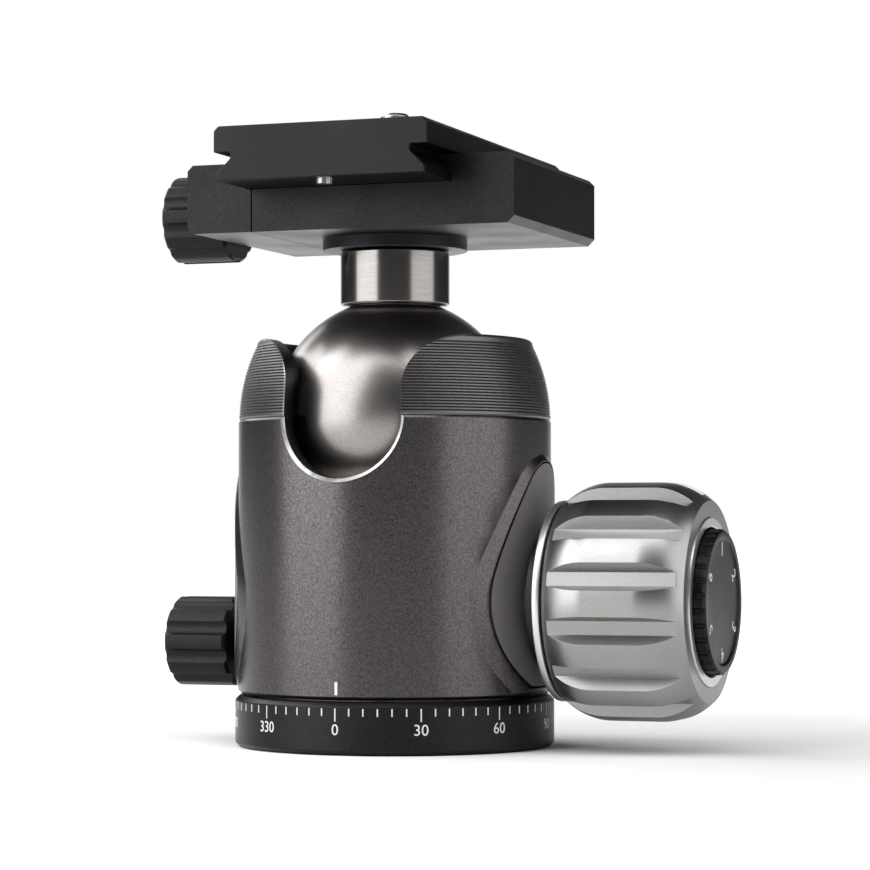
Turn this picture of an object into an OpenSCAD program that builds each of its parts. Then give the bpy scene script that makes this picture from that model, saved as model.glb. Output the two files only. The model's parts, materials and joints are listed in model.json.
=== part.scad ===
// Full-size tripod ball head: panning base, housing with one drop notch, main lock knob with a
// friction dial, pan lock knob, ball with stem, and a dovetail clamp with its quick-release plate.
// +Z is up, +X points along the main lock knob and -Y out of the drop notch.
// The origin is the centre of the base's underside.

/* [Ball] */
// Radius of the ball
ball_r = 22; // [19:0.5:25]
// Radius of the ball's neck inside the stem sleeve
neck_r = 8; // [6.5:0.25:8.25]
// Radius of the stem sleeve
stem_r = 9.8; // [9:0.1:10.5]
// Length of the stem sleeve
stem_h = 9.9; // [8:0.1:16]
// Distance from the housing's bore to the ball
bore_gap = 1.8; // [1.6:0.1:2.4]
// Thickness of the floating liner under the ball
liner_t = 1.25; // [1:0.05:1.4]
// Radius of the liner seen from above
liner_rim_r = 14; // [11:0.5:15]

/* [Housing] */
// Wall of the housing around its bore
body_wall = 4.2; // [3.8:0.1:6]
// Thickness of the housing's floor
floor_t = 6; // [5:0.5:9]
// Wall left behind the side covers
cover_back_wall = 1.8; // [1.2:0.1:2.2]
// Half width of a side cover, the radius of its lower end around the lock screw
cover_half_w = 15.9; // [13.5:0.1:17]
// Radius of a side cover's upper end
cover_tip_r = 8.2; // [6:0.1:10]
// Height of the centre of that end above the lock screw
cover_tip_h = 16; // [12:0.5:19]
// Radius of the curve of a side cover's flanks
cover_flank_r = 50; // [30:5:120]
// Height by which the side covers and their rims stand proud of the housing
cover_proud = 0.65; // [0.2:0.05:1]
// Width of the housing's raised rim around a side cover
cover_rim_w = 1.2; // [0.5:0.1:2]
// Sill of the housing below the side covers
cover_sill = 1.8; // [0.6:0.1:2]
// Chamfer of the housing's lower edge
housing_chamfer = 0.6; // [0.2:0.1:1]

/* [Collar] */
// Height of the collar above the ball's centre
collar_h = 14.4; // [13:0.1:15.5]
// Radius of the collar's outer curve
collar_curve_r = 30; // [24:0.5:40]
// Set-back of the collar from the housing's wall
collar_step = 0.1; // [0:0.05:0.4]
// Lip by which the collar's mouth is smaller than the ball
mouth_lip = 0.8; // [0.4:0.1:1.4]
// Height of the ball seat ring
seat_ring_h = 8.5; // [6:0.25:9.5]
// Smooth band below the ribs
rib_start = 0.8; // [0.6:0.1:3]
// Distance from one rib to the next
rib_pitch = 0.52; // [0.45:0.01:1]
// Width of the groove between two ribs
rib_groove_w = 0.3; // [0.15:0.01:0.4]
// Depth of the groove between two ribs
rib_groove_d = 0.14; // [0.05:0.01:0.25]
// Rounding of the collar's upper edge
collar_edge_r = 1; // [0.4:0.1:1.2]
// Clearance between the stem and each side of the drop notch
notch_gap = 1; // [0.4:0.1:1.5]
// Radius of the collar's corners beside the notch
notch_corner_r = 9; // [3:0.5:10]

/* [Base] */
// Radius of the base plate
base_r = 28.5; // [27:0.5:29]
// Height of the base plate
base_h = 9.1; // [8.6:0.1:12]
// Chamfer of the base plate's edges
base_chamfer = 0.8; // [0.3:0.1:1.5]
// Radius of the tripod thread, 3/8 inch
tripod_thread_r = 4.7625; // [4.7625:3/8 inch, 3.175:1/4 inch]
// Outer radius of the thread insert
insert_r = 7.5; // [6.5:0.25:8.5]
// Length of the thread insert
insert_h = 12; // [9:0.5:13]
// Radius of the pan spindle
spindle_r = 11; // [10.5:0.25:12]
// Radius of the spindle's foot flange
spindle_flange_r = 16; // [15.5:0.25:17]
// Thickness of the spindle's foot flange
spindle_flange_h = 3.6; // [2.5:0.1:4]
// Thickness of the base plate under the spindle's flange
base_web = 5; // [4:0.1:5]
// Number of screws through the spindle's flange
spindle_screw_n = 4; // [3:1:6]
// Radius of those screws
spindle_screw_r = 1.5; // [1:0.1:1.5]
// Height of the pan ring on the spindle
pan_ring_h = 5.5; // [5:0.25:8]
// Radius of the pan ring
pan_ring_r = 16.5; // [15:0.25:17.5]

/* [Wedge and cup] */
// Thickness of the hardened thrust plate
thrust_t = 1.5; // [1:0.1:3]
// Height of the lock screw's axis above the wedge's underside
wedge_axis_h = 2.45; // [2.4:0.05:3.2]
// Height of the wedge in its middle
wedge_mid_h = 5.95; // [5.6:0.05:8]
// Half length of the wedge
wedge_half_l = 12; // [9:0.5:13]
// Width of the wedge
wedge_w = 16; // [10:0.5:22]
// Rise of the wedge's ramp for each unit of its length
wedge_slope = 0.2; // [0.1:0.01:0.2]
// Height of the cup's ramp block in its middle
ramp_block_h = 2.65; // [2.6:0.05:5]
// Thickness of the cup under its seat
cup_floor_t = 2.35; // [1.5:0.05:5]
// Depth of the cup's spherical seat
cup_seat_depth = 11.45; // [9:0.05:12.5]

/* [Lock knob] */
// Radius of the lock screw
lock_screw_r = 5; // [4:0.25:6]
// Radius of the lock screw's tip
lock_tip_r = 2.2; // [1.5:0.05:2.35]
// Depth of the tip's socket in the wedge
lock_socket_depth = 6; // [4:0.5:9]
// Radius of the lock bushing in the housing's wall
bushing_r = 9; // [7.5:0.25:10.5]
// Radius of the bushing's neck in front of the cover
bushing_neck_r = 12; // [11:0.25:14]
// Distance from the cover to the end of the bushing's neck
bushing_neck_l = 2.45; // [1:0.05:3]
// Gap between the bushing's neck and the knob, with the head locked
knob_gap = 0.4; // [0.3:0.05:1]
// Radius of the bright ring at the knob's inner end
knob_ring_r = 17.6; // [16:0.1:18]
// Thickness of that ring
knob_ring_t = 1.3; // [0.8:0.1:2]
// Width of the dark groove behind the ring
knob_groove_w = 0.5; // [0.3:0.1:1]
// Depth of that groove
knob_groove_d = 1; // [0.5:0.1:1.3]
// Length of the knob's fluted shell
knob_l = 25; // [20:0.5:32]
// Radius of the shell at its two ends
knob_end_r = 17.5; // [17:0.1:18.4]
// Largest radius of the shell
knob_r = 20.8; // [20:0.1:22]
// Length over which the shell rounds up from its end
knob_crown_l = 8; // [5:0.5:9]
// Number of flutes
flute_n = 14; // [8:1:18]
// Radius at which a flute's floor lies
flute_floor_r = 18.5; // [18:0.1:19.5]
// Width of a flute's floor
flute_floor_w = 2.4; // [1.5:0.1:3]
// Widening of a flute for each unit of height
flute_flare = 0.57; // [0.2:0.01:0.7]
// Radius of the knob's hub
knob_hub_r = 15.9; // [14.5:0.1:16.2]
// Thickness of the shell's end wall
knob_wall_t = 3.5; // [2.5:0.1:5]
// Radius of the friction dial
dial_r = 12.6; // [10:0.1:13]
// Height by which the dial stands out of the knob
dial_proud = 2.4; // [1:0.1:4]
// Number of grip notches on the dial
dial_notch_n = 30; // [12:1:36]
// Width of the bright ring around the dial
dial_bezel_w = 1.8; // [1:0.1:2]
// Radius of the friction screw
friction_screw_r = 3; // [2:0.1:3.2]
// Length of the friction pin
friction_pin_l = 5; // [3:0.5:6]
// Length of the friction spring
friction_spring_l = 4; // [3:0.5:5]

/* [Pan lock] */
// Radius of the pan lock screw
pan_screw_r = 2.5; // [2:0.1:2.8]
// Radius of the brake pad
brake_pad_r = 2.4; // [1.8:0.1:2.6]
// Length of the brake pad
brake_pad_l = 2.6; // [2:0.1:2.7]
// Radius of the pan lock bushing
pan_bushing_r = 3.7; // [3.2:0.1:3.75]
// Radius of the pan lock knob
pan_knob_r = 8.2; // [6.5:0.1:8.4]
// Length of the pan lock knob
pan_knob_l = 12; // [8:0.5:18]
// Thickness of the small knobs' end caps
small_cap_t = 1.4; // [1:0.1:2]
// Width of the small knobs' rim around their caps
small_cap_rim = 2.6; // [2.2:0.1:3.2]
// Number of grip flutes on the pan lock and clamp knobs
small_flute_n = 10; // [6:1:12]

/* [Clamp] */
// Radius of the round foot under the clamp
clamp_foot_r = 13; // [11:0.5:16]
// Height of that foot
clamp_foot_h = 2; // [1.5:0.1:4]
// Thickness of the clamp's slab
clamp_slab_h = 7.5; // [7.4:0.1:10]
// Length of the clamp along the plate's groove
clamp_l = 46; // [40:1:60]
// Thickness of each jaw beyond the plate's edge
jaw_t = 11.4; // [10.5:0.1:14]
// Height of the jaws above the slab
jaw_h = 4.6; // [4.3:0.1:4.8]
// Opening between the moving jaw and the slab, with the plate clamped
jaw_slot = 0.2; // [0.1:0.05:0.5]
// Distance from the edge of the plate to the edge of the slab under it
slab_setback = 1; // [0.8:0.1:3]
// Radius of the guide pins
guide_pin_r = 2; // [1.5:0.1:2.3]
// Distance between the guide pins
guide_pin_spacing = 28; // [26:1:34]
// Reach of the guide pins into the slab
pin_reach = 12; // [8:0.5:14]
// Depth of the guide pins in the moving jaw
jaw_pin_depth = 9; // [6:0.5:10]
// Outer radius of the jaw springs
spring_r = 1.9; // [1.6:0.1:2.1]
// Radius of their wire
spring_wire_r = 0.35; // [0.25:0.05:0.45]
// Depth of their pockets in the slab
spring_pocket = 7; // [5:0.5:9]
// Radius of the clamp screw
clamp_screw_r = 2.5; // [2:0.1:3]
// Radius of the clamp knob
clamp_knob_r = 8; // [7:0.1:8.2]
// Length of the clamp knob
clamp_knob_l = 12; // [9:0.5:18]
// Radius of the round level
level_r = 3.8; // [3:0.1:4.2]
// Depth of the round level
level_h = 3.6; // [2.5:0.1:6]
// Radius of the neck screw that holds the clamp
neck_screw_r = 3; // [2:0.1:3.2]
// Radius of its head
neck_screw_head_r = 5; // [4.2:0.1:5]

/* [Plate] */
// Width of the plate's dovetail
dovetail_w = 38; // [36:0.5:44]
// Height of the dovetail's upright edge
dovetail_edge_h = 1.2; // [0.8:0.1:1.3]
// Height of the dovetail's 45 degree flank
dovetail_flank_h = 2.6; // [1.5:0.1:2.7]
// Gap between the jaws and the plate's top slab
plate_lift = 0.3; // [0.2:0.05:1]
// Thickness of the plate's top slab
plate_slab_h = 4.5; // [3.5:0.1:7]
// Overhang of the top slab past the dovetail on each side
plate_overhang = 0.5; // [0:0.1:1.5]
// Length of the plate
plate_l = 72; // [68:1:90]
// Travel of the plate to each side
plate_travel = 9; // [5:0.5:9]
// Radius of the plate's stop screws
stop_r = 1.4; // [1:0.1:1.4]
// Depth of the stop screws in the plate
stop_depth = 3; // [2:0.1:4]
// Height of the stop screws below the plate
stop_drop = 1; // [0.6:0.1:1.4]
// Thickness of the grip pads
pad_t = 0.8; // [0.6:0.1:1.5]
// Width of each grip pad
pad_w = 9; // [5:0.5:12]
// Radius of the camera screw, 1/4 inch
camera_screw_r = 3.175; // [3.175:1/4 inch]
// Radius of the camera screw's neck, which the plate keeps captive
camera_neck_r = 2.5; // [2.2:0.1:2.8]
// Length of the camera screw above the pads
camera_screw_l = 5.5; // [4:0.25:6.5]
// Radius of the camera screw's head
camera_head_r = 7.2; // [6:0.1:7.5]
// Height of the camera screw's head
camera_head_h = 3.4; // [2.5:0.1:4]

/* [Fits] */
// Gap between the base plate and the turning housing
pan_gap = 0.3; // [0.2:0.05:0.6]
// Radial clearance of a turning or sliding fit
run = 0.05; // [0.03:0.01:0.08]
// Clearance between two pieces of one body
seat = 0.02; // [0.01:0.01:0.05]
// Gap of the shadow line around a side cover
cover_gap = 0.35; // [0.2:0.05:0.6]
// Free gap between pieces that pass each other
free = 0.3; // [0.2:0.05:0.5]

/* [Hidden] */
$fn = 96;

// Heights, from the base's underside upwards
housing_z = base_h + pan_gap;
floor_z = housing_z + floor_t;
pan_ring_z = floor_z + run;
ledge_clearance = 1.05;
ledge_z = pan_ring_z + pan_ring_h + ledge_clearance;
wedge_z = ledge_z + thrust_t + run;
lock_z = wedge_z + wedge_axis_h;
ramp_z = wedge_z + wedge_mid_h + run;
cup_z = ramp_z + ramp_block_h;
cup_seat_r = ball_r + run + liner_t + 3 * run;
ball_z = cup_z + cup_floor_t + cup_seat_r;
pan_axis_h = pan_ring_h / 2;
pan_z = pan_ring_z + pan_axis_h;

// Radii of the body
bore_r = ball_r + bore_gap;
body_r = bore_r + body_wall;
cover_back_r = bore_r + cover_back_wall;
cover_r = body_r + cover_proud;
ledge_w = 4.3;
lower_bore_r = bore_r - ledge_w;
mouth_r = ball_r - mouth_lip;
notch_r = stem_r + notch_gap;
seat_ring_floor = 0.5;
rib_n = floor((collar_h - collar_edge_r / 2 - rib_start) / rib_pitch);

// Places along the lock knob's axis
bushing_end_x = cover_r + bushing_neck_l;
knob_x = bushing_end_x + knob_gap;
groove_x = knob_x + knob_ring_t;
shell_x = groove_x + knob_groove_w;
shell_end_x = shell_x + knob_l;
dial_pocket_r = dial_r + free;
dial_back_x = shell_end_x - knob_wall_t;
hub_end_x = dial_back_x - free;
wedge_tip_x = wedge_half_l - lock_socket_depth;
friction_bore_r = friction_screw_r + run;
friction_floor_x = hub_end_x - 15;
friction_pin_x = friction_floor_x + 1;

// Places along the pan lock's axis, all measured towards -X
brake_x = pan_ring_r + run;
pan_screw_x = brake_x + brake_pad_l;
pan_bushing_end_x = cover_r + 0.8;
pan_knob_x = pan_bushing_end_x + knob_gap;

// Heights and places of the clamp and plate
stem_z = ball_z + sqrt(ball_r * ball_r - neck_r * neck_r);
stem_top_z = stem_z + stem_h;
clamp_z = stem_top_z + 2 * run;
slab_z = clamp_z + clamp_foot_h;
groove_z = slab_z + clamp_slab_h;
jaw_top_z = groove_z + jaw_h;
plate_z = groove_z + run;
dovetail_half = dovetail_w / 2;
jaw_gap = 2 * run;
slab_edge_x = dovetail_half - slab_setback;
jaw_inner_x = slab_edge_x + jaw_slot;
jaw_outer_x = dovetail_half + jaw_t;
clamp_axis_z = slab_z + 5;
clamp_knob_x = jaw_outer_x + free;
counterbore_r = neck_screw_head_r + 2 * free;
neck_head_z = slab_z + 2.1;
neck_head_h = 4.8;
neck_screw_depth = 15;
flank_z = plate_z + dovetail_edge_h;
plate_neck_z = flank_z + dovetail_flank_h;
plate_slab_z = jaw_top_z + plate_lift;
plate_top_z = plate_slab_z + plate_slab_h;
pad_z = plate_top_z - pad_t / 2;
pad_top_z = pad_z + pad_t;
camera_head_z = plate_slab_z - run - camera_head_h;
stop_y = clamp_l / 2 + plate_travel + stop_r + 2 * run;

// Shared shapes

module tube(r, hole_r, h) {
    difference() {
        cylinder(r = r, h = h);
        translate([0, 0, -1]) cylinder(r = hole_r, h = h + 2);
    }
}

// A disc with both outer edges chamfered
module chamfered_disc(r, h, chamfer) {
    rotate_extrude() polygon([
        [0, 0], [r - chamfer, 0], [r, chamfer], [r, h - chamfer], [r - chamfer, h], [0, h]
    ]);
}

// Puts its children at x on an axis along +X, with their own +Z pointing along +X
module along_x(x, z) {
    translate([x, 0, z]) rotate([0, 90, 0]) children();
}

// The same towards -X, with x counted in that direction
module along_minus_x(x, z) {
    translate([-x, 0, z]) rotate([0, -90, 0]) children();
}

module ring_of(n, r, start = 0) {
    for (i = [0 : n - 1]) rotate([0, 0, start + i * 360 / n]) translate([r, 0, 0]) children();
}

// Outline of a side cover around the lock screw, grown by a margin, with height along X of the sketch.
// Its tip, flank and lower end are arcs that run into each other.
function cover_points(margin, n = 96) =
    let (
        to_end = cover_flank_r - cover_half_w,
        to_tip = cover_flank_r - cover_tip_r,
        flank_h = (to_end * to_end - to_tip * to_tip + cover_tip_h * cover_tip_h) / (2 * cover_tip_h),
        flank_y = -sqrt(to_end * to_end - flank_h * flank_h),
        tip_turn = atan2(-flank_y, cover_tip_h - flank_h),
        end_turn = atan2(-flank_y, -flank_h)
    )
    [for (i = [0 : n - 1]) let (
        turn = i * 360 / n,
        half = turn <= 180 ? turn : 360 - turn,
        y_side = turn <= 180 ? 1 : -1,
        centre = half < tip_turn ? [cover_tip_h, 0] : half < end_turn ? [flank_h, y_side * flank_y] : [0, 0],
        r = half < tip_turn ? cover_tip_r : half < end_turn ? cover_flank_r : cover_half_w
    ) centre + (r + margin) * [cos(turn), sin(turn)]];

// That outline as a prism along the X axis
module cover_prism(margin, side) {
    translate([0, 0, lock_z]) rotate([0, -90, 0]) translate([0, 0, side > 0 ? -body_r * 2 : 0])
        linear_extrude(body_r * 2) polygon(cover_points(margin));
}

module cover_shell(inner_r, outer_r, margin, bottom_z, side) {
    intersection() {
        cover_prism(margin, side);
        translate([0, 0, bottom_z]) tube(outer_r, inner_r, ball_z - bottom_z);
    }
}

// The drop notch: round at the ball's centre height and open upwards, with rounded upper corners
module notch_cut(margin, corner_r) {
    r = notch_r + margin;
    top = collar_h + margin;
    translate([0, -ball_r / 2, ball_z]) rotate([90, 0, 0]) linear_extrude(body_r) {
        circle(r = r);
        translate([-r, 0]) square([2 * r, top + 1]);
        for (side = [-1, 1]) scale([side, 1]) translate([r - 0.01, top - corner_r]) difference() {
            square([corner_r, corner_r + 1]);
            translate([corner_r, 0]) circle(r = corner_r);
        }
    }
}

// Cross-section of a barrel-shaped knob, with the axis along Y of the sketch
module barrel_profile(l, end_r, r, crown_l) {
    rise = r - end_r;
    arc_r = (crown_l * crown_l + rise * rise) / (2 * rise);
    intersection() {
        square([r, l]);
        translate([0, crown_l - arc_r]) difference() {
            square([r, l + 2 * arc_r]);
            difference() {
                square([r + 1, arc_r]);
                translate([r - arc_r, arc_r]) circle(r = arc_r);
                square([r - arc_r, arc_r]);
            }
        }
        translate([0, l - crown_l - arc_r]) difference() {
            translate([0, -l]) square([r, l + 2 * arc_r]);
            translate([0, arc_r]) difference() {
                square([r + 1, arc_r]);
                translate([r - arc_r, 0]) circle(r = arc_r);
                square([r - arc_r, arc_r]);
            }
        }
    }
}

// One grip flute with a flat floor and flared sides, along +Z
module flute(floor_r, floor_w, flare, depth, l) {
    half = floor_w / 2;
    translate([0, 0, -1]) linear_extrude(l + 2) polygon([
        [floor_r, -half], [floor_r + depth, -half - flare * depth],
        [floor_r + depth, half + flare * depth], [floor_r, half]
    ]);
}

// A small knob with round scallops around it, along +Z
module scalloped_knob(r, l, hole_r, pocket_r, pocket_d) {
    scallop_r = 1.6;
    edge = 0.5;
    difference() {
        chamfered_disc(r, l, edge);
        translate([0, 0, -1]) cylinder(r = hole_r, h = l + 2);
        translate([0, 0, l - pocket_d]) cylinder(r = pocket_r, h = pocket_d + 1);
        translate([0, 0, -1]) ring_of(small_flute_n, r + scallop_r / 2) cylinder(r = scallop_r, h = l + 2);
    }
}

// A closed coil spring around +Z
module coil(r, wire_r, l, turns) {
    sides = 6;
    steps = turns * 12;
    function ring(i) = [for (k = [0 : sides - 1])
        let (a = i * 360 * turns / steps, b = k * 360 / sides, q = r + wire_r * cos(b))
            [q * cos(a), q * sin(a), wire_r + (l - 2 * wire_r) * i / steps + wire_r * sin(b)]];
    points = [for (i = [0 : steps]) each ring(i)];
    sides_faces = [for (i = [0 : steps - 1], k = [0 : sides - 1])
        let (n = (k + 1) % sides)
            [i * sides + k, i * sides + n, (i + 1) * sides + n, (i + 1) * sides + k]];
    first = [[for (k = [sides - 1 : -1 : 0]) k]];
    last = [[for (k = [0 : sides - 1]) steps * sides + k]];
    polyhedron(points = points, faces = concat(sides_faces, first, last));
}

// Base

module base_plate() {
    washer_depth = 0.8;
    color("#3c3c3e") difference() {
        chamfered_disc(base_r, base_h, base_chamfer);
        translate([0, 0, -1]) cylinder(r = insert_r + seat, h = base_h + 2);
        translate([0, 0, base_web]) cylinder(r = spindle_flange_r + seat, h = base_h);
        translate([0, 0, base_h - washer_depth])
            tube(pan_washer_r() + seat, pan_washer_hole_r() - seat, washer_depth + 1);
        spindle_screw_ring(seat);
    }
}

function pan_washer_r() = base_r - 3.5;
function pan_washer_hole_r() = spindle_flange_r + 1.5;

// Countersunk screws, heads downwards, grown by a margin
module spindle_screw_ring(margin) {
    head_h = 1.7;
    head_recess = 0.3;
    screw_top_z = base_web + spindle_flange_h - 0.6;
    screw_circle_r = (spindle_r + spindle_flange_r) / 2;
    r = spindle_screw_r + margin;
    ring_of(spindle_screw_n, screw_circle_r, 45) {
        translate([0, 0, head_recess]) cylinder(r1 = r + 1.3, r2 = r, h = head_h);
        translate([0, 0, head_recess]) cylinder(r = r, h = screw_top_z - head_recess + margin);
        if (margin > 0) translate([0, 0, -1]) cylinder(r = r + 1.3, h = 1 + head_recess);
    }
}

module thread_insert() {
    color("#c9b27a") tube(insert_r, tripod_thread_r, insert_h);
}

module spindle() {
    color("#8f9194") difference() {
        union() {
            translate([0, 0, base_web]) cylinder(r = spindle_flange_r, h = spindle_flange_h);
            translate([0, 0, base_web]) cylinder(r = spindle_r, h = pan_ring_z + pan_ring_h - base_web);
        }
        translate([0, 0, base_web - 1]) cylinder(r = insert_r + seat, h = insert_h - base_web + 1 + free);
        spindle_screw_ring(seat);
    }
}

module spindle_screws() {
    color("#2a2a2c") spindle_screw_ring(0);
}

module pan_washer() {
    washer_depth = 0.8;
    translate([0, 0, base_h - washer_depth])
        color("#e8e6df") tube(pan_washer_r(), pan_washer_hole_r(), washer_depth + pan_gap - run);
}

module pan_ring() {
    spanner_hole_r = 1;
    spanner_hole_depth = 2.5;
    color("#77797c") translate([0, 0, pan_ring_z]) difference() {
        tube(pan_ring_r, spindle_r + seat, pan_ring_h);
        translate([0, 0, pan_ring_h - spanner_hole_depth]) ring_of(2, (spindle_r + pan_ring_r) / 2)
            cylinder(r = spanner_hole_r, h = spanner_hole_depth + 1);
    }
}

// Housing and what is fixed in it

module housing() {
    color("#4b4b4d") difference() {
        rotate_extrude() polygon([
            [0, housing_z], [body_r - housing_chamfer, housing_z],
            [cover_r, housing_z + housing_chamfer + cover_proud], [cover_r, ball_z], [0, ball_z]
        ]);
        difference() {
            translate([0, 0, housing_z - 1]) tube(cover_r + 1, body_r, ball_z - housing_z + 2);
            for (side = [-1, 1]) cover_prism(cover_gap + cover_rim_w, side);
        }
        translate([0, 0, housing_z - 1]) cylinder(r = spindle_r + pan_bush_t() + seat, h = floor_t + 2);
        translate([0, 0, floor_z]) cylinder(r = lower_bore_r, h = ball_z);
        translate([0, 0, ledge_z]) cylinder(r = bore_r, h = ball_z);
        for (side = [-1, 1])
            cover_shell(cover_back_r, cover_r + 1, cover_gap, housing_z + cover_sill - cover_gap, side);
        along_x(lower_bore_r - 1, lock_z) cylinder(r = bushing_r + seat, h = body_r);
        along_minus_x(lower_bore_r - 2, pan_z) cylinder(r = pan_bushing_r + seat, h = body_r);
        notch_cut(0, notch_corner_r);
    }
}

function pan_bush_t() = 1;

module pan_bush() {
    color("#d8d4c8") translate([0, 0, housing_z])
        tube(spindle_r + pan_bush_t(), spindle_r + run, floor_t);
}

module thrust_plate() {
    color("#9a9ca0") translate([0, 0, ledge_z]) cylinder(r = bore_r - run, h = thrust_t);
}

// Radius of the collar's outside at a height above its lower edge
function collar_out(h) = body_r - collar_step - collar_curve_r + sqrt(collar_curve_r * collar_curve_r - h * h);

module collar() {
    seam_chamfer = 0.2;
    edge_h = collar_h - collar_edge_r;
    edge_r = collar_out(edge_h);
    ribs = [for (i = [0 : rib_n - 1]) let (h = rib_start + i * rib_pitch) if (h + rib_groove_w < edge_h) each [
        [collar_out(h), h],
        [collar_out(h + rib_groove_w / 2) - rib_groove_d, h + rib_groove_w / 2],
        [collar_out(h + rib_groove_w), h + rib_groove_w]
    ]];
    edge = [for (a = [0 : 15 : 90]) [
        edge_r - collar_edge_r * (1 - cos(a)), edge_h + collar_edge_r * sin(a)
    ]];
    color("#3f3f41") difference() {
        translate([0, 0, ball_z]) rotate_extrude() polygon(concat(
            [[bore_r, 0], [collar_out(0) - seam_chamfer, 0], [collar_out(seam_chamfer), seam_chamfer]],
            ribs, edge,
            [[mouth_r, collar_h], [mouth_r, seat_ring_top()], [bore_r, seat_ring_top()]]
        ));
        notch_cut(0, notch_corner_r);
    }
}

function seat_ring_top() = seat_ring_floor + seat_ring_h + seat;

module seat_ring() {
    color("#1d1d1f") difference() {
        translate([0, 0, ball_z + seat_ring_floor]) cylinder(r = bore_r - seat, h = seat_ring_h);
        translate([0, 0, ball_z]) sphere(r = ball_r + run);
        notch_cut(free, notch_corner_r);
    }
}

module cover_right() {
    color("#39393b") difference() {
        cover_shell(cover_back_r + seat, cover_r, 0, housing_z + cover_sill, 1);
        along_x(0, lock_z) cylinder(r = bushing_r + seat, h = body_r * 2);
    }
}

module cover_left() {
    color("#39393b") difference() {
        cover_shell(cover_back_r + seat, cover_r, 0, housing_z + cover_sill, -1);
        along_minus_x(0, pan_z) cylinder(r = pan_bushing_r + seat, h = body_r * 2);
    }
}

module lock_bushing() {
    bushing_x = bore_r + 0.4;
    color("#5a5a5c") difference() {
        union() {
            along_x(bushing_x, lock_z) cylinder(r = bushing_r, h = bushing_end_x - bushing_x);
            along_x(cover_r + seat, lock_z) cylinder(r = bushing_neck_r, h = bushing_end_x - cover_r - seat);
        }
        along_x(0, lock_z) cylinder(r = lock_screw_r + run, h = body_r * 2);
    }
}

module pan_bushing() {
    color("#5a5a5c") along_minus_x(lower_bore_r + 0.4, pan_z)
        tube(pan_bushing_r, pan_screw_r + run, pan_bushing_end_x - lower_bore_r - 0.4);
}

// Locking parts under the ball

// Ramp height over the wedge's middle at a place along X
function ramp(x) = wedge_slope * x;

module ball_cup() {
    color("#c8c2ae") difference() {
        union() {
            translate([0, 0, cup_z]) cylinder(r = bore_r - 2 * run, h = cup_floor_t + cup_seat_depth);
            translate([0, wedge_w / 2, 0]) rotate([90, 0, 0]) linear_extrude(wedge_w) polygon([
                [-wedge_half_l, ramp_z + ramp(-wedge_half_l)], [wedge_half_l, ramp_z + ramp(wedge_half_l)],
                [wedge_half_l, cup_z + 1], [-wedge_half_l, cup_z + 1]
            ]);
        }
        translate([0, 0, ball_z]) sphere(r = cup_seat_r);
    }
}

module ball_liner() {
    liner_hole_r = 3;
    color("#efece2") intersection() {
        translate([0, 0, ball_z]) difference() {
            sphere(r = ball_r + run + liner_t);
            sphere(r = ball_r + run);
        }
        translate([0, 0, cup_z]) tube(liner_rim_r, liner_hole_r, ball_z - cup_z);
    }
}

module wedge() {
    color("#a8aaae") difference() {
        translate([0, wedge_w / 2, 0]) rotate([90, 0, 0]) linear_extrude(wedge_w) polygon([
            [-wedge_half_l, wedge_z], [wedge_half_l, wedge_z],
            [wedge_half_l, wedge_z + wedge_mid_h + ramp(wedge_half_l)],
            [-wedge_half_l, wedge_z + wedge_mid_h + ramp(-wedge_half_l)]
        ]);
        along_x(wedge_tip_x, lock_z) cylinder(r = lock_tip_r + run, h = wedge_half_l);
    }
}

// Main lock knob

module lock_screw() {
    screw_x = bore_r + 0.5;
    color("#8b8d90") difference() {
        union() {
            along_x(wedge_tip_x + run, lock_z) cylinder(r = lock_tip_r, h = screw_x - wedge_tip_x);
            along_x(screw_x, lock_z) cylinder(r = lock_screw_r, h = hub_end_x - screw_x);
        }
        along_x(friction_floor_x, lock_z) cylinder(r = friction_bore_r, h = knob_l);
    }
}

module knob_ring() {
    color("#e2e2e2") along_x(knob_x, lock_z) tube(knob_ring_r, lock_screw_r + seat, knob_ring_t);
}

module knob_hub() {
    color("#1c1c1e") difference() {
        union() {
            along_x(groove_x, lock_z) cylinder(r = knob_end_r - knob_groove_d, h = knob_groove_w);
            along_x(shell_x - seat, lock_z) cylinder(r = knob_hub_r, h = hub_end_x - shell_x + seat);
        }
        along_x(0, lock_z) cylinder(r = lock_screw_r + seat, h = shell_end_x);
    }
}

module knob_shell() {
    color("#c9c9c8") along_x(shell_x, lock_z) difference() {
        rotate_extrude() barrel_profile(knob_l, knob_end_r, knob_r, knob_crown_l);
        translate([0, 0, -1]) cylinder(r = knob_hub_r + seat, h = dial_back_x - shell_x + 1);
        cylinder(r = dial_pocket_r, h = knob_l + 1);
        translate([0, 0, knob_l - bezel_depth()]) cylinder(r = dial_pocket_r + dial_bezel_w + seat, h = knob_l);
        ring_of(flute_n, 0)
            flute(flute_floor_r, flute_floor_w, flute_flare, knob_r - flute_floor_r + 1, knob_l);
    }
}

function bezel_depth() = 1.5;

module knob_bezel() {
    color("#e2e2e2") along_x(shell_end_x - bezel_depth(), lock_z)
        tube(dial_pocket_r + dial_bezel_w, dial_pocket_r, bezel_depth() + free);
}

module friction_dial() {
    notch_r = 0.6;
    dial_l = knob_wall_t + dial_proud;
    color("#2b2b2d") along_x(dial_back_x, lock_z) difference() {
        chamfered_disc(dial_r, dial_l, 0.6);
        translate([0, 0, knob_wall_t]) ring_of(dial_notch_n, dial_r + notch_r / 3)
            cylinder(r = notch_r, h = dial_proud + 1);
    }
}

module friction_screw() {
    screw_x = friction_pin_x + friction_pin_l + friction_spring_l + 2 * seat;
    color("#8b8d90") along_x(screw_x, lock_z) cylinder(r = friction_screw_r, h = dial_back_x - screw_x);
}

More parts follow.
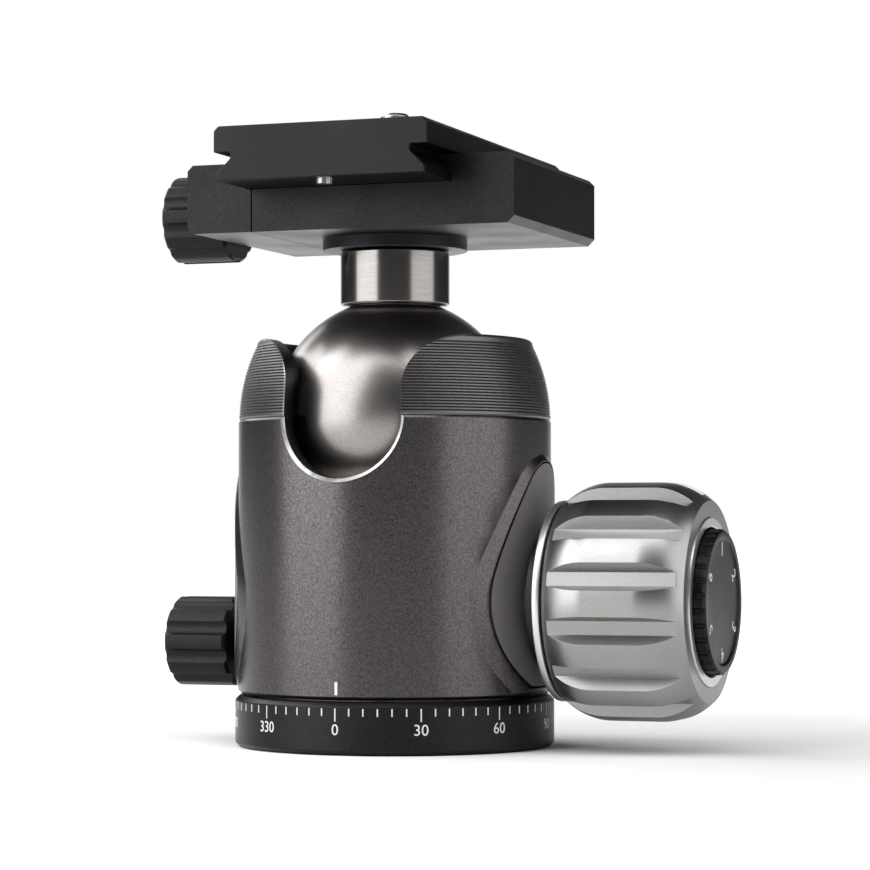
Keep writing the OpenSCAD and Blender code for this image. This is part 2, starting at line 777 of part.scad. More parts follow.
module friction_pin() {
    color("#b9a25e") along_x(friction_pin_x, lock_z) cylinder(r = friction_screw_r, h = friction_pin_l);
}

module friction_spring() {
    wire_r = 0.4;
    color("#9fa1a4") along_x(friction_pin_x + friction_pin_l + seat, lock_z)
        coil(friction_screw_r - wire_r - run, wire_r, friction_spring_l, 3);
}

// Pan lock

module brake_pad() {
    color("#c8b98a") along_minus_x(brake_x, pan_z) cylinder(r = brake_pad_r, h = brake_pad_l);
}

module pan_screw() {
    color("#8b8d90") along_minus_x(pan_screw_x + run, pan_z)
        cylinder(r = pan_screw_r, h = pan_knob_x + pan_knob_l - small_cap_t - pan_screw_x - run);
}

module pan_knob() {
    color("#2b2b2d") along_minus_x(pan_knob_x, pan_z)
        scalloped_knob(pan_knob_r, pan_knob_l, pan_screw_r + seat, pan_knob_r - small_cap_rim, small_cap_t);
}

module pan_knob_cap() {
    color("#c9c9c8") along_minus_x(pan_knob_x + pan_knob_l - small_cap_t + seat, pan_z)
        chamfered_disc(pan_knob_r - small_cap_rim - seat, small_cap_t, 0.3);
}

// Ball and stem

module ball() {
    color("#8d8b88") difference() {
        union() {
            translate([0, 0, ball_z]) sphere(r = ball_r);
            translate([0, 0, ball_z]) cylinder(r = neck_r, h = stem_top_z - ball_z);
        }
        translate([0, 0, stem_top_z - neck_screw_depth]) cylinder(r = neck_screw_r + seat, h = neck_screw_depth + 1);
    }
}

module stem_sleeve() {
    color("#6f6d6b") translate([0, 0, stem_z + seat]) difference() {
        chamfered_disc(stem_r, stem_h - seat, 0.25);
        translate([0, 0, -1]) cylinder(r = neck_r + seat, h = stem_h + 2);
    }
}

module neck_screw() {
    hex_r = 2.9;
    hex_depth = 2.5;
    tip_z = stem_top_z - neck_screw_depth + 0.5;
    color("#232325") difference() {
        union() {
            translate([0, 0, tip_z]) cylinder(r = neck_screw_r, h = neck_head_z - tip_z);
            translate([0, 0, neck_head_z]) cylinder(r = neck_screw_head_r, h = neck_head_h);
        }
        translate([0, 0, neck_head_z + neck_head_h - hex_depth]) cylinder(r = hex_r, h = hex_depth + 1, $fn = 6);
    }
}

// Clamp

// One jaw above the slab, on the +X side, as seen along the groove
module jaw_outline() {
    polygon([
        [dovetail_half + jaw_gap, groove_z], [dovetail_half + jaw_gap, flank_z],
        [dovetail_half - dovetail_flank_h + jaw_gap, plate_neck_z],
        [dovetail_half - dovetail_flank_h + jaw_gap, jaw_top_z],
        [jaw_outer_x - 1, jaw_top_z], [jaw_outer_x, jaw_top_z - 1], [jaw_outer_x, groove_z]
    ]);
}

// Extrudes a sketch in X and Z along the clamp's groove
module along_groove(l) {
    translate([0, l / 2, 0]) rotate([90, 0, 0]) linear_extrude(l) children();
}

module clamp_body() {
    slab_corner = 1.2;
    pin_end_x = slab_edge_x - pin_reach - 1;
    color("#343436") difference() {
        union() {
            translate([0, 0, clamp_z]) cylinder(r = clamp_foot_r, h = clamp_foot_h + 1);
            along_groove(clamp_l) polygon([
                [-slab_edge_x, slab_z], [jaw_outer_x - slab_corner, slab_z], [jaw_outer_x, slab_z + slab_corner],
                [jaw_outer_x, groove_z], [-slab_edge_x, groove_z]
            ]);
            along_groove(clamp_l) jaw_outline();
        }
        translate([0, 0, clamp_z - 1]) cylinder(r = neck_screw_r + run, h = clamp_foot_h + clamp_slab_h);
        translate([0, 0, neck_head_z - run]) cylinder(r = counterbore_r, h = clamp_slab_h + 1);
        translate([level_x(), 0, jaw_top_z - level_h]) cylinder(r = level_r + seat, h = level_h + 1);
        for (side = [-1, 1]) {
            translate([0, side * guide_pin_spacing / 2, 0])
                along_minus_x(pin_end_x, clamp_axis_z) cylinder(r = guide_pin_r + run, h = dovetail_half);
            translate([0, side * spring_y(), 0])
                along_minus_x(slab_edge_x - spring_pocket, clamp_axis_z)
                    cylinder(r = spring_r + run + seat, h = spring_pocket + 1);
        }
        along_minus_x(clamp_screw_tip_x() - 0.5, clamp_axis_z) cylinder(r = clamp_screw_r + run, h = dovetail_half);
    }
}

function level_x() = (dovetail_half + plate_overhang + jaw_outer_x) / 2;
function spring_y() = guide_pin_spacing / 4 + 1.2;
function clamp_screw_tip_x() = counterbore_r + 1.4;

module jaw_springs() {
    color("#9fa1a4") for (side = [-1, 1]) translate([0, side * spring_y(), 0])
        along_minus_x(slab_edge_x - spring_pocket + seat, clamp_axis_z)
            coil(spring_r - spring_wire_r, spring_wire_r, spring_pocket + jaw_slot - 2 * seat, 4);
}

module bubble_level() {
    color("#b8d85a") translate([level_x(), 0, jaw_top_z - level_h]) cylinder(r = level_r, h = level_h);
}

module clamp_jaw() {
    slab_corner = 1.2;
    color("#343436") difference() {
        union() {
            mirror([1, 0, 0]) along_groove(clamp_l) jaw_outline();
            along_groove(clamp_l) polygon([
                [-jaw_inner_x, slab_z], [-jaw_outer_x + slab_corner, slab_z], [-jaw_outer_x, slab_z + slab_corner],
                [-jaw_outer_x, groove_z], [-jaw_inner_x, groove_z]
            ]);
        }
        for (side = [-1, 1]) translate([0, side * guide_pin_spacing / 2, 0])
            along_minus_x(jaw_inner_x - 1, clamp_axis_z) cylinder(r = guide_pin_r + seat, h = jaw_pin_depth + 1);
        along_minus_x(0, clamp_axis_z) cylinder(r = clamp_screw_r + run, h = jaw_outer_x + 1);
    }
}

module guide_pins() {
    color("#b9bbbe") for (side = [-1, 1]) translate([0, side * guide_pin_spacing / 2, 0])
        along_minus_x(slab_edge_x - pin_reach, clamp_axis_z)
            cylinder(r = guide_pin_r, h = pin_reach + jaw_slot + jaw_pin_depth - seat);
}

module clamp_screw() {
    color("#8b8d90") along_minus_x(clamp_screw_tip_x(), clamp_axis_z)
        cylinder(r = clamp_screw_r, h = clamp_knob_x + clamp_knob_l - small_cap_t - clamp_screw_tip_x());
}

module clamp_knob() {
    color("#2b2b2d") along_minus_x(clamp_knob_x, clamp_axis_z)
        scalloped_knob(clamp_knob_r, clamp_knob_l, clamp_screw_r + seat, clamp_knob_r - small_cap_rim, small_cap_t);
}

module clamp_knob_cap() {
    color("#c9c9c8") along_minus_x(clamp_knob_x + clamp_knob_l - small_cap_t + seat, clamp_axis_z)
        chamfered_disc(clamp_knob_r - small_cap_rim - seat, small_cap_t, 0.3);
}

// Quick-release plate

module plate_outline() {
    top_half = dovetail_half + plate_overhang;
    neck_half = dovetail_half - dovetail_flank_h;
    edge = 0.8;
    right = [
        [dovetail_half, plate_z], [dovetail_half, flank_z], [neck_half, plate_neck_z], [neck_half, plate_slab_z],
        [top_half, plate_slab_z], [top_half, plate_top_z - edge], [top_half - edge, plate_top_z]
    ];
    n = len(right);
    polygon(concat(right, [for (i = [n - 1 : -1 : 0]) [-right[i].x, right[i].y]]));
}

module quick_plate() {
    color("#303032") difference() {
        along_groove(plate_l) plate_outline();
        translate([0, 0, plate_z - 1]) cylinder(r = camera_head_r + free, h = plate_slab_z - plate_z + 1);
        cylinder(r = camera_screw_r + run, h = plate_top_z + 1);
        for (side = [-1, 1]) {
            translate([side * pad_x(), 0, pad_z]) pad_box(seat, 1);
            translate([0, side * stop_y, plate_z - 1]) cylinder(r = stop_r + seat, h = 1 + stop_depth);
        }
    }
}

function pad_x() = dovetail_half + plate_overhang - 2 - pad_w / 2;

module pad_box(margin, extra_h) {
    pad_end = 3;
    w = pad_w + 2 * margin;
    l = plate_l - 2 * pad_end + 2 * margin;
    translate([-w / 2, -l / 2, 0]) cube([w, l, pad_t + extra_h]);
}

module plate_pads() {
    color("#161617") for (side = [-1, 1]) translate([side * pad_x(), 0, pad_z]) pad_box(0, 0);
}

module plate_stops() {
    color("#8b8d90") for (side = [-1, 1])
        translate([0, side * stop_y, plate_z - stop_drop]) cylinder(r = stop_r, h = stop_drop + stop_depth - seat);
}

module camera_screw() {
    slot_w = 1.2;
    slot_d = 1.4;
    color("#c2c3c5") difference() {
        union() {
            translate([0, 0, camera_head_z]) cylinder(r = camera_head_r, h = camera_head_h);
            translate([0, 0, camera_head_z])
                cylinder(r = camera_neck_r, h = pad_top_z + camera_screw_l / 2 - camera_head_z);
            translate([0, 0, pad_top_z]) cylinder(r = camera_screw_r, h = camera_screw_l);
        }
        translate([-camera_head_r - 1, -slot_w / 2, camera_head_z - 1])
            cube([2 * camera_head_r + 2, slot_w, slot_d + 1]);
    }
}

base_plate();
thread_insert();
spindle();
spindle_screws();
pan_washer();
pan_ring();
housing();
pan_bush();
thrust_plate();
collar();
seat_ring();
cover_right();
cover_left();
lock_bushing();
pan_bushing();
ball_cup();
ball_liner();
wedge();
lock_screw();
knob_ring();
knob_hub();
knob_shell();
knob_bezel();
friction_dial();
friction_screw();
friction_pin();
friction_spring();
brake_pad();
pan_screw();
pan_knob();
pan_knob_cap();
ball();
stem_sleeve();
neck_screw();
clamp_body();
jaw_springs();
bubble_level();
clamp_jaw();
guide_pins();
clamp_screw();
clamp_knob();
clamp_knob_cap();
quick_plate();
plate_pads();
plate_stops();
camera_screw();
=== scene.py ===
"""Dresses the tripod ball head for its picture.

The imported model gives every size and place. Pieces that show are modelled again with finer edges,
real finishes and small details, and each rides on the body that carries it.
"""

from __future__ import annotations

import json
import logging
import math
from dataclasses import dataclass, field
from enum import Enum
from typing import Callable, Iterable, Sequence

import bmesh
import bpy
from mathutils import Matrix, Vector

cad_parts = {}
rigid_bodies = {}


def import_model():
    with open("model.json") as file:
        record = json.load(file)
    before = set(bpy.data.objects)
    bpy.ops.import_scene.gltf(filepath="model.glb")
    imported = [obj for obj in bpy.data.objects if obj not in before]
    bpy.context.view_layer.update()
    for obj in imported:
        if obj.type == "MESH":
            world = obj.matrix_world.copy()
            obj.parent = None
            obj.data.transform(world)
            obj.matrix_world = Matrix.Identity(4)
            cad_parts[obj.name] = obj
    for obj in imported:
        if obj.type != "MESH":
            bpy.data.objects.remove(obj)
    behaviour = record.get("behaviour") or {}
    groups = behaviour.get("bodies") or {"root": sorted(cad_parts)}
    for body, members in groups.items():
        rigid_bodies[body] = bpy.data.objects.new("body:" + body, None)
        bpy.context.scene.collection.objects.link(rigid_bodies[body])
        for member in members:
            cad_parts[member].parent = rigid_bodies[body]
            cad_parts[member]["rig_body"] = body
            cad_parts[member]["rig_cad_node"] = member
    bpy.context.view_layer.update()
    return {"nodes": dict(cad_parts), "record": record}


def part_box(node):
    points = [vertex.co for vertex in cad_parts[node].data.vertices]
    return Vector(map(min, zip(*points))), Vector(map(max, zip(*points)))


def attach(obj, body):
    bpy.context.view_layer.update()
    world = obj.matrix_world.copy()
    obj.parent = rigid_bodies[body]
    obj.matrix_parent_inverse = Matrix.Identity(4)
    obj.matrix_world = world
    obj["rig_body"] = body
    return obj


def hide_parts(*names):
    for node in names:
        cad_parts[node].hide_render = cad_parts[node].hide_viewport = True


LOG = logging.getLogger("ball_head")
MM = 0.001

Point = tuple[float, float]
Outline = Sequence[Point]
Piece = bpy.types.Object
Tree = bpy.types.NodeTree
Socket = bpy.types.NodeSocket
EdgePoint = tuple[Vector, Vector, Vector, Vector]
UPRIGHT = Matrix.Rotation(math.pi / 2, 4, "X")
# Levels between which the noise texture stays nearly everywhere: for the fine grain, and for slow patches.
GRAIN_LEVELS = (0.3, 0.7)
PATCH_LEVELS = (0.35, 0.65)
# Size of the text object that gives digits one unit high.
TEXT_SIZE_PER_DIGIT = 1.35


# ---- Colours and material nodes ----


def linear(hex_colour: str) -> tuple[float, float, float, float]:
    """Turns an sRGB hex colour into the linear colour that the shader takes.

    Args:
        hex_colour: Six hex digits, with or without a leading hash.

    Returns:
        Red, green, blue and alpha as linear values.
    """
    digits = hex_colour.lstrip("#")
    channels = [int(digits[i : i + 2], 16) / 255 for i in (0, 2, 4)]
    values = [c / 12.92 if c <= 0.04045 else ((c + 0.055) / 1.055) ** 2.4 for c in channels]
    return (values[0], values[1], values[2], 1.0)


def per_mm(size: float) -> float:
    """Gives the texture scale at which one feature measures a size in millimetres."""
    return 1.0 / (size * MM)


def new_tree(owner: bpy.types.Material | bpy.types.World) -> Tree:
    """Gives a material or a world an empty node tree."""
    owner.use_nodes = True
    owner.node_tree.nodes.clear()
    return owner.node_tree


def add_node(tree: Tree, kind: str, settings: dict[str, object] | None = None,
             inputs: dict[str | int, object] | None = None,
             links: dict[str | int, Socket] | None = None) -> bpy.types.Node:
    """Adds a node with its settings, its input values and its links.

    Args:
        tree: The node tree that gets the node.
        kind: The node's type name, without ShaderNode in front.
        settings: Attribute values of the node itself.
        inputs: Values of its input sockets, by name or number.
        links: Sockets that feed its input sockets, by name or number.

    Returns:
        The new node.
    """
    node = tree.nodes.new(f"ShaderNode{kind}")
    for name, value in (settings or {}).items():
        setattr(node, name, value)
    for name, value in (inputs or {}).items():
        node.inputs[name].default_value = value
    for name, socket in (links or {}).items():
        tree.links.new(socket, node.inputs[name])
    return node


def map_range(tree: Tree, value: Socket, source: Point, target: Point,
              blend: str = "LINEAR") -> Socket:
    """Maps a value from one range to another.

    Args:
        tree: The node tree that gets the node.
        value: The value.
        source: Both ends of the range that it comes from.
        target: Both ends of the range that it goes to.
        blend: LINEAR or SMOOTHSTEP.

    Returns:
        The mapped value.
    """
    ends = {"From Min": source[0], "From Max": source[1], "To Min": target[0], "To Max": target[1]}
    node = add_node(tree, "MapRange", {"interpolation_type": blend}, ends, {"Value": value})
    return node.outputs["Result"]


def combine(tree: Tree, operation: str, first: Socket, second: Socket) -> Socket:
    """Combines two values with one operation of the maths node."""
    return add_node(tree, "Math", {"operation": operation}, links={0: first, 1: second}).outputs[0]


def noise(tree: Tree, vector: Socket, scale: float, detail: float, rough: float) -> Socket:
    """Adds a noise texture and gives its value."""
    inputs = {"Scale": scale, "Detail": detail, "Roughness": rough}
    return add_node(tree, "TexNoise", inputs=inputs, links={"Vector": vector}).outputs["Fac"]


@dataclass(frozen=True)
class Finish:
    """A real finish: its colours, its gloss and the grain that its making leaves.

    Attributes:
        title: The material's plain name.
        colour: Main colour as sRGB hex.
        second: Colour of the grain's dark side.
        roughness: Spread of its highlight.
        metallic: 1 for bare or dyed metal, 0 for plastic, rubber and paint.
        roughness_spread: How far the grain moves that spread to each side.
        grain: Size of the grain in millimetres, for each axis.
        bump: Height of the grain in millimetres.
        tint: How strongly the grain mixes the second colour in.
        coat: Weight of a clear coat.
        patch: Size in millimetres of the slow change in tone over the surface.
    """

    title: str
    colour: str
    second: str
    roughness: float
    metallic: float = 1.0
    roughness_spread: float = 0.05
    grain: tuple[float, float, float] = (0.3, 0.3, 0.3)
    bump: float = 0.01
    tint: float = 0.5
    coat: float = 0.0
    patch: float = 18.0

    def make(self) -> bpy.types.Material:
        """Builds the material, or returns it where it is already made."""
        made = bpy.data.materials.get(self.title)
        if made:
            return made
        material = bpy.data.materials.new(self.title)
        tree = new_tree(material)
        spot = add_node(tree, "TexCoord").outputs["Object"]
        scale = tuple(per_mm(g) for g in self.grain)
        scaled = add_node(tree, "Mapping", inputs={"Scale": scale}, links={"Vector": spot})
        grain = noise(tree, scaled.outputs["Vector"], 1.0, detail=2.0, rough=0.6)
        patch = noise(tree, spot, per_mm(self.patch), detail=3.0, rough=0.5)
        mixed = add_node(
            tree, "Mix", {"data_type": "RGBA"}, {6: linear(self.colour), 7: linear(self.second)},
            {0: map_range(tree, grain, GRAIN_LEVELS, (0.0, self.tint))},
        )
        relief = {"Strength": 1.0, "Distance": self.bump * MM}
        bump = add_node(tree, "Bump", inputs=relief, links={"Height": grain})
        spread = (self.roughness - self.roughness_spread, self.roughness + self.roughness_spread)
        shader = add_node(
            tree, "BsdfPrincipled", inputs={"Metallic": self.metallic, "Coat Weight": self.coat},
            links={
                "Base Color": mixed.outputs[2], "Normal": bump.outputs["Normal"],
                "Roughness": map_range(tree, patch, PATCH_LEVELS, spread),
            },
        )
        add_node(tree, "OutputMaterial", links={"Surface": shader.outputs["BSDF"]})
        return material


# Sandblasting leaves fine pits, so the dyed metal has a broad, grainy highlight.
SANDBLASTED_GREY = Finish(
    "anodised aluminium, sandblasted dark grey", "#605c5c", "#383535",
    roughness=0.27, roughness_spread=0.01, grain=(0.34, 0.34, 0.34), bump=0.014, tint=0.8,
)
# A turned and dyed surface has a broader sheen than the blasted one, and its ribs do the rest.
TURNED_GREY = Finish(
    "anodised aluminium, turned dark grey", "#6f6d6c", "#4c4a4a",
    roughness=0.42, grain=(0.5, 0.5, 0.08), bump=0.004,
)
# The covers are a matt dark grey that scatters light softly next to the housing. Their colour is set lighter
# and without metal sheen so that they stay light in the knob's shadow: painted light.
COVER_GREY_WITH_PAINTED_LIGHT = Finish(
    "anodised aluminium, matt dark grey", "#6a6766", "#5b5857",
    metallic=0.0, roughness=0.45, grain=(0.34, 0.34, 0.34), bump=0.008, tint=0.6,
)
# Black dye on a blasted surface keeps a soft sheen on its edges. On the cut walls of the slot the same black
# is painted shade.
SATIN_BLACK_AND_SLOT_SHADE = Finish(
    "anodised aluminium, satin black", "#2e2e30", "#1c1c1d",
    roughness=0.4, grain=(0.3, 0.3, 0.3), bump=0.01, tint=0.6,
)
# The ball is turned, blasted and dyed a warm titanium tone: satin, with a wide soft highlight.
TITANIUM = Finish(
    "anodised aluminium, satin titanium", "#9f9b99", "#827e7c",
    roughness=0.31, roughness_spread=0.0, grain=(0.26, 0.26, 0.26), bump=0.006, tint=0.7,
)
# The stem is turned: faint lines run around it.
TURNED_TITANIUM = Finish(
    "anodised aluminium, turned titanium", "#8c8886", "#73706e",
    roughness=0.18, roughness_spread=0.0, grain=(3.0, 3.0, 0.12), bump=0.003,
)
# Clear anodising over bead blasting scatters light evenly.
SATIN_SILVER = Finish(
    "anodised aluminium, bead-blasted silver", "#9f9e9d", "#8a8988",
    roughness=0.33, grain=(0.28, 0.28, 0.28), bump=0.006,
)
# A freshly turned ring is bare metal whose fine marks spread the light, so it stays pale.
BRIGHT_CUT = Finish(
    "aluminium, bright cut", "#d8d8d7", "#c6c6c5",
    roughness=0.36, roughness_spread=0.0, grain=(0.2, 0.2, 0.2), bump=0.001, tint=0.3,
)
# A chamfer milled through the dye is bare metal with fine tool marks, so it stays pale from all sides.
MACHINED_EDGE = Finish(
    "aluminium, milled edge", "#cbcbca", "#bdbdbc",
    roughness=0.4, roughness_spread=0.03, grain=(0.2, 0.2, 0.2), bump=0.002, tint=0.3,
)
# Turned steel keeps fine tool marks.
STEEL = Finish(
    "steel, turned", "#a9aaac", "#8a8b8d",
    roughness=0.3, grain=(0.15, 0.15, 0.15), bump=0.003,
)
# Black oxide is thin, so the steel's gloss comes through.
BLACK_STEEL = Finish(
    "steel, black oxide", "#343436", "#222224",
    roughness=0.38, grain=(0.2, 0.2, 0.2), bump=0.004,
)
# Yellow turned metal with a soft gloss.
BRASS = Finish(
    "brass, turned", "#c9a65c", "#a98843",
    roughness=0.28, grain=(0.2, 0.2, 0.2), bump=0.003,
)
# Acetal is milky and slightly waxy.
WHITE_ACETAL = Finish(
    "acetal, machined white", "#dedbd2", "#cfcbc0",
    metallic=0.0, roughness=0.4, grain=(0.6, 0.6, 0.2), bump=0.004, tint=0.4,
)
BLACK_ACETAL = Finish(
    "acetal, machined black", "#1f1f20", "#161617",
    metallic=0.0, roughness=0.42, grain=(0.6, 0.6, 0.2), bump=0.004, tint=0.4,
)
# Glass fibre in moulded nylon leaves a fine matt texture. On the cut walls of the covers' gaps and recesses
# and of the bushings' holes the same black is painted shade.
BLACK_NYLON_AND_GAP_SHADE = Finish(
    "nylon, moulded black, also painted shade in gaps", "#1b1b1c", "#121213",
    metallic=0.0, roughness=0.55, grain=(0.35, 0.35, 0.35), bump=0.012,
)
# Grip rubber is matt and a little dusty.
GRIP_RUBBER = Finish(
    "rubber, moulded matt black", "#202021", "#151516",
    metallic=0.0, roughness=0.75, grain=(0.4, 0.4, 0.4), bump=0.02, tint=0.6,
)
# Engraved marks are filled with off-white paint.
MARK_PAINT = Finish(
    "enamel, off-white filling", "#d9d8d2", "#c6c5bf",
    metallic=0.0, roughness=0.5, grain=(0.3, 0.3, 0.3), bump=0.004, tint=0.4,
)
# The vial is clear and glossy over a bright green liquid.
LEVEL_LIQUID = Finish(
    "acrylic, clear vial with green liquid", "#b9dc3c", "#a5cc2c",
    metallic=0.0, roughness=0.12, roughness_spread=0.02, grain=(3, 3, 3), bump=0.0, tint=0.4, coat=1.0,
)
# The bubble is paler than the liquid, with a hard gloss.
LEVEL_BUBBLE = Finish(
    "acrylic, pale bubble", "#e4f2a8", "#d8ea94",
    metallic=0.0, roughness=0.08, roughness_spread=0.01, grain=(3, 3, 3), bump=0.0, tint=0.4, coat=1.0,
)


class Slot(Enum):
    """The record's material slots, each with the finish that it stands for."""

    HOUSING = ("housing_anodised", SANDBLASTED_GREY)
    COLLAR = ("collar_anodised", TURNED_GREY)
    COVER = ("collar_anodised", COVER_GREY_WITH_PAINTED_LIGHT)
    BLACK = ("black_anodised", SATIN_BLACK_AND_SLOT_SHADE)
    TITANIUM = ("satin_titanium", TITANIUM)
    STEM = ("satin_titanium", TURNED_TITANIUM)
    SILVER = ("satin_silver", SATIN_SILVER)
    BRIGHT = ("bright_aluminium", BRIGHT_CUT)
    STEEL = ("steel", STEEL)
    BLACK_STEEL = ("black_steel", BLACK_STEEL)
    BRASS = ("brass", BRASS)
    WHITE_ACETAL = ("white_acetal", WHITE_ACETAL)
    BLACK_ACETAL = ("black_acetal", BLACK_ACETAL)
    NYLON = ("black_nylon", BLACK_NYLON_AND_GAP_SHADE)
    RUBBER = ("grip_rubber", GRIP_RUBBER)
    MARK = ("satin_silver", MARK_PAINT)
    LIQUID = ("level_vial", LEVEL_LIQUID)
    BUBBLE = ("level_vial", LEVEL_BUBBLE)


# ---- Modelling helpers ----


def activate(piece: Piece) -> None:
    """Makes one object the only selected one and the active one."""
    if bpy.context.object and bpy.context.object.mode != "OBJECT":
        bpy.ops.object.mode_set(mode="OBJECT")
    bpy.ops.object.select_all(action="DESELECT")
    piece.hide_set(False)
    piece.select_set(True)
    bpy.context.view_layer.objects.active = piece


def new_piece(name: str, points: Iterable[Sequence[float]], edges: Iterable[Sequence[int]] = (),
              faces: Iterable[Sequence[int]] = ()) -> Piece:
    """Makes an object from points in millimetres.

    Args:
        name: The piece's name.
        points: Its points, in millimetres.
        edges: Pairs of point numbers.
        faces: Loops of point numbers.

    Returns:
        The new object, at the origin.
    """
    mesh = bpy.data.meshes.new(name)
    mesh.from_pydata([tuple(c * MM for c in p) for p in points], list(edges), list(faces))
    piece = bpy.data.objects.new(name, mesh)
    bpy.context.scene.collection.objects.link(piece)
    return piece


def edit(piece: Piece) -> None:
    """Opens a piece in edit mode with everything selected."""
    activate(piece)
    bpy.ops.object.mode_set(mode="EDIT")
    bpy.ops.mesh.select_all(action="SELECT")


def close_edit() -> None:
    """Leaves edit mode."""
    bpy.ops.object.mode_set(mode="OBJECT")


def tidy_mesh(piece: Piece, merge: float = 0.002, planar_deg: float = 0.0) -> None:
    """Merges doubled points, turns the faces outwards and dissolves flat seams.

    Args:
        piece: The piece to tidy.
        merge: Distance in millimetres under which two points become one.
        planar_deg: Angle under which neighbouring faces are joined, or 0 for none.
    """
    edit(piece)
    bpy.ops.mesh.remove_doubles(threshold=merge * MM)
    bpy.ops.mesh.normals_make_consistent(inside=False)
    if planar_deg:
        bpy.ops.mesh.dissolve_limited(angle_limit=math.radians(planar_deg))
    close_edit()


def face_outwards(piece: Piece) -> Piece:
    """Turns every face of a closed piece outwards."""
    edit(piece)
    bpy.ops.mesh.normals_make_consistent(inside=False)
    close_edit()
    return piece


def shift(x: float = 0.0, y: float = 0.0, z: float = 0.0) -> Matrix:
    """Gives the matrix that moves by millimetres."""
    return Matrix.Translation((x * MM, y * MM, z * MM))


def place(piece: Piece, matrix: Matrix) -> Piece:
    """Moves a piece's mesh by a matrix in metres and leaves its object at the origin."""
    piece.data.transform(matrix)
    if matrix.determinant() < 0:
        piece.data.flip_normals()
    piece.data.update()
    return piece


def rect(left: float, low: float, right: float, high: float) -> list[Point]:
    """Gives the corners of an upright rectangle."""
    return [(left, low), (right, low), (right, high), (left, high)]


def lathe(name: str, outline: Outline, segments: int = 192,
          matrix: Matrix | None = None) -> Piece:
    """Spins a closed outline into a solid of revolution.

    Args:
        name: The piece's name.
        outline: Radius and height of each corner, in millimetres.
        segments: Steps around the axis.
        matrix: Where the finished solid goes, in metres.

    Returns:
        The new piece.
    """
    count = len(outline)
    edges = [(i, (i + 1) % count) for i in range(count)]
    piece = new_piece(name, [(r, 0.0, z) for r, z in outline], edges)
    edit(piece)
    bpy.ops.mesh.spin(steps=segments, angle=2 * math.pi, center=(0, 0, 0), axis=(0, 0, 1))
    close_edit()
    tidy_mesh(piece)
    return place(piece, matrix or Matrix.Identity(4))


def prism(name: str, outline: Outline, depth: float, matrix: Matrix | None = None) -> Piece:
    """Extrudes a flat outline upwards.

    Args:
        name: The piece's name.
        outline: Corners in the X and Y of the sketch, in millimetres.
        depth: Height of the prism in millimetres.
        matrix: Where the finished solid goes, in metres.

    Returns:
        The new piece.
    """
    piece = new_piece(name, [(x, y, 0.0) for x, y in outline], faces=[range(len(outline))])
    edit(piece)
    bpy.ops.mesh.extrude_region_move(TRANSFORM_OT_translate={"value": (0, 0, depth * MM)})
    close_edit()
    return place(face_outwards(piece), matrix or Matrix.Identity(4))


def joined(name: str, parts: Sequence[Piece]) -> Piece:
    """Joins several pieces into one object."""
    activate(parts[0])
    for part in parts:
        part.select_set(True)
    bpy.ops.object.join()
    parts[0].name = name
    parts[0].data.name = name
    return parts[0]


def copy_of(piece: Piece, matrix: Matrix) -> Piece:
    """Copies a piece with its own mesh and moves the copy's mesh."""
    twin = piece.copy()
    twin.data = piece.data.copy()
    bpy.context.scene.collection.objects.link(twin)
    return place(twin, matrix)


def ring_copies(name: str, piece: Piece, count: int) -> Piece:
    """Repeats a piece around the Z axis and joins the copies.

    Args:
        name: The joined piece's name.
        piece: The piece to repeat, which is used up.
        count: How many there are around the full turn.

    Returns:
        The joined piece.
    """
    step = 2 * math.pi / count
    turned = [copy_of(piece, Matrix.Rotation(i * step, 4, "Z")) for i in range(count)]
    bpy.data.objects.remove(piece)
    return joined(name, turned)


def apply_modifiers(piece: Piece) -> None:
    """Applies every modifier of a piece."""
    activate(piece)
    for modifier in list(piece.modifiers):
        bpy.ops.object.modifier_apply(modifier=modifier.name)


def boolean(target: Piece, tool: Piece, operation: str = "DIFFERENCE") -> None:
    """Cuts or joins one piece with another; cut faces take the tool's material.

    Args:
        target: The piece that changes.
        tool: The piece that cuts it, which is used up.
        operation: DIFFERENCE, UNION or INTERSECT.
    """
    modifier = target.modifiers.new("cut", "BOOLEAN")
    modifier.operation = operation
    modifier.solver = "EXACT"
    modifier.material_mode = "TRANSFER"
    modifier.object = tool
    apply_modifiers(target)
    bpy.data.objects.remove(tool)


def stained(tool: Piece, finish: Finish) -> Piece:
    """Gives a tool the finish that its cut leaves on the walls: a real finish, or black as painted shade."""
    tool.data.materials.append(finish.make())
    return tool


def soften(piece: Piece, width: float = 0.15, segments: int = 2, angle_deg: float = 32.0,
           smooth_deg: float = 32.0) -> None:
    """Rounds the sharp edges of a piece and shades it smooth.

    Args:
        piece: The piece to finish.
        width: Width of the rounding in millimetres.
        segments: Steps of the rounding.
        angle_deg: Edges sharper than this are rounded.
        smooth_deg: Edges sharper than this stay crisp in the shading.
    """
    bevel = piece.modifiers.new("edge", "BEVEL")
    bevel.width = width * MM
    bevel.segments = segments
    bevel.limit_method = "ANGLE"
    bevel.angle_limit = math.radians(angle_deg)
    bevel.miter_outer = "MITER_ARC"
    bevel.use_clamp_overlap = True
    apply_modifiers(piece)
    shade(piece, smooth_deg)
    weighted = piece.modifiers.new("normals", "WEIGHTED_NORMAL")
    weighted.keep_sharp = True
    apply_modifiers(piece)


def shade(piece: Piece, smooth_deg: float = 32.0) -> None:
    """Shades a piece smooth up to an angle."""
    activate(piece)
    bpy.ops.object.shade_smooth_by_angle(angle=math.radians(smooth_deg))


def paint(piece: Piece, slot: Slot) -> None:
    """Gives a piece the one finish that stands for a record's slot."""
    piece.data.materials.clear()
    piece.data.materials.append(slot.value[1].make())


def arc(centre: Point, radius: float, start_deg: float, end_deg: float, steps: int) -> list[Point]:
    """Gives the points of an arc, both ends included."""
    angles = [math.radians(start_deg + (end_deg - start_deg) * i / steps) for i in range(steps + 1)]
    return [(centre[0] + radius * math.cos(a), centre[1] + radius * math.sin(a)) for a in angles]


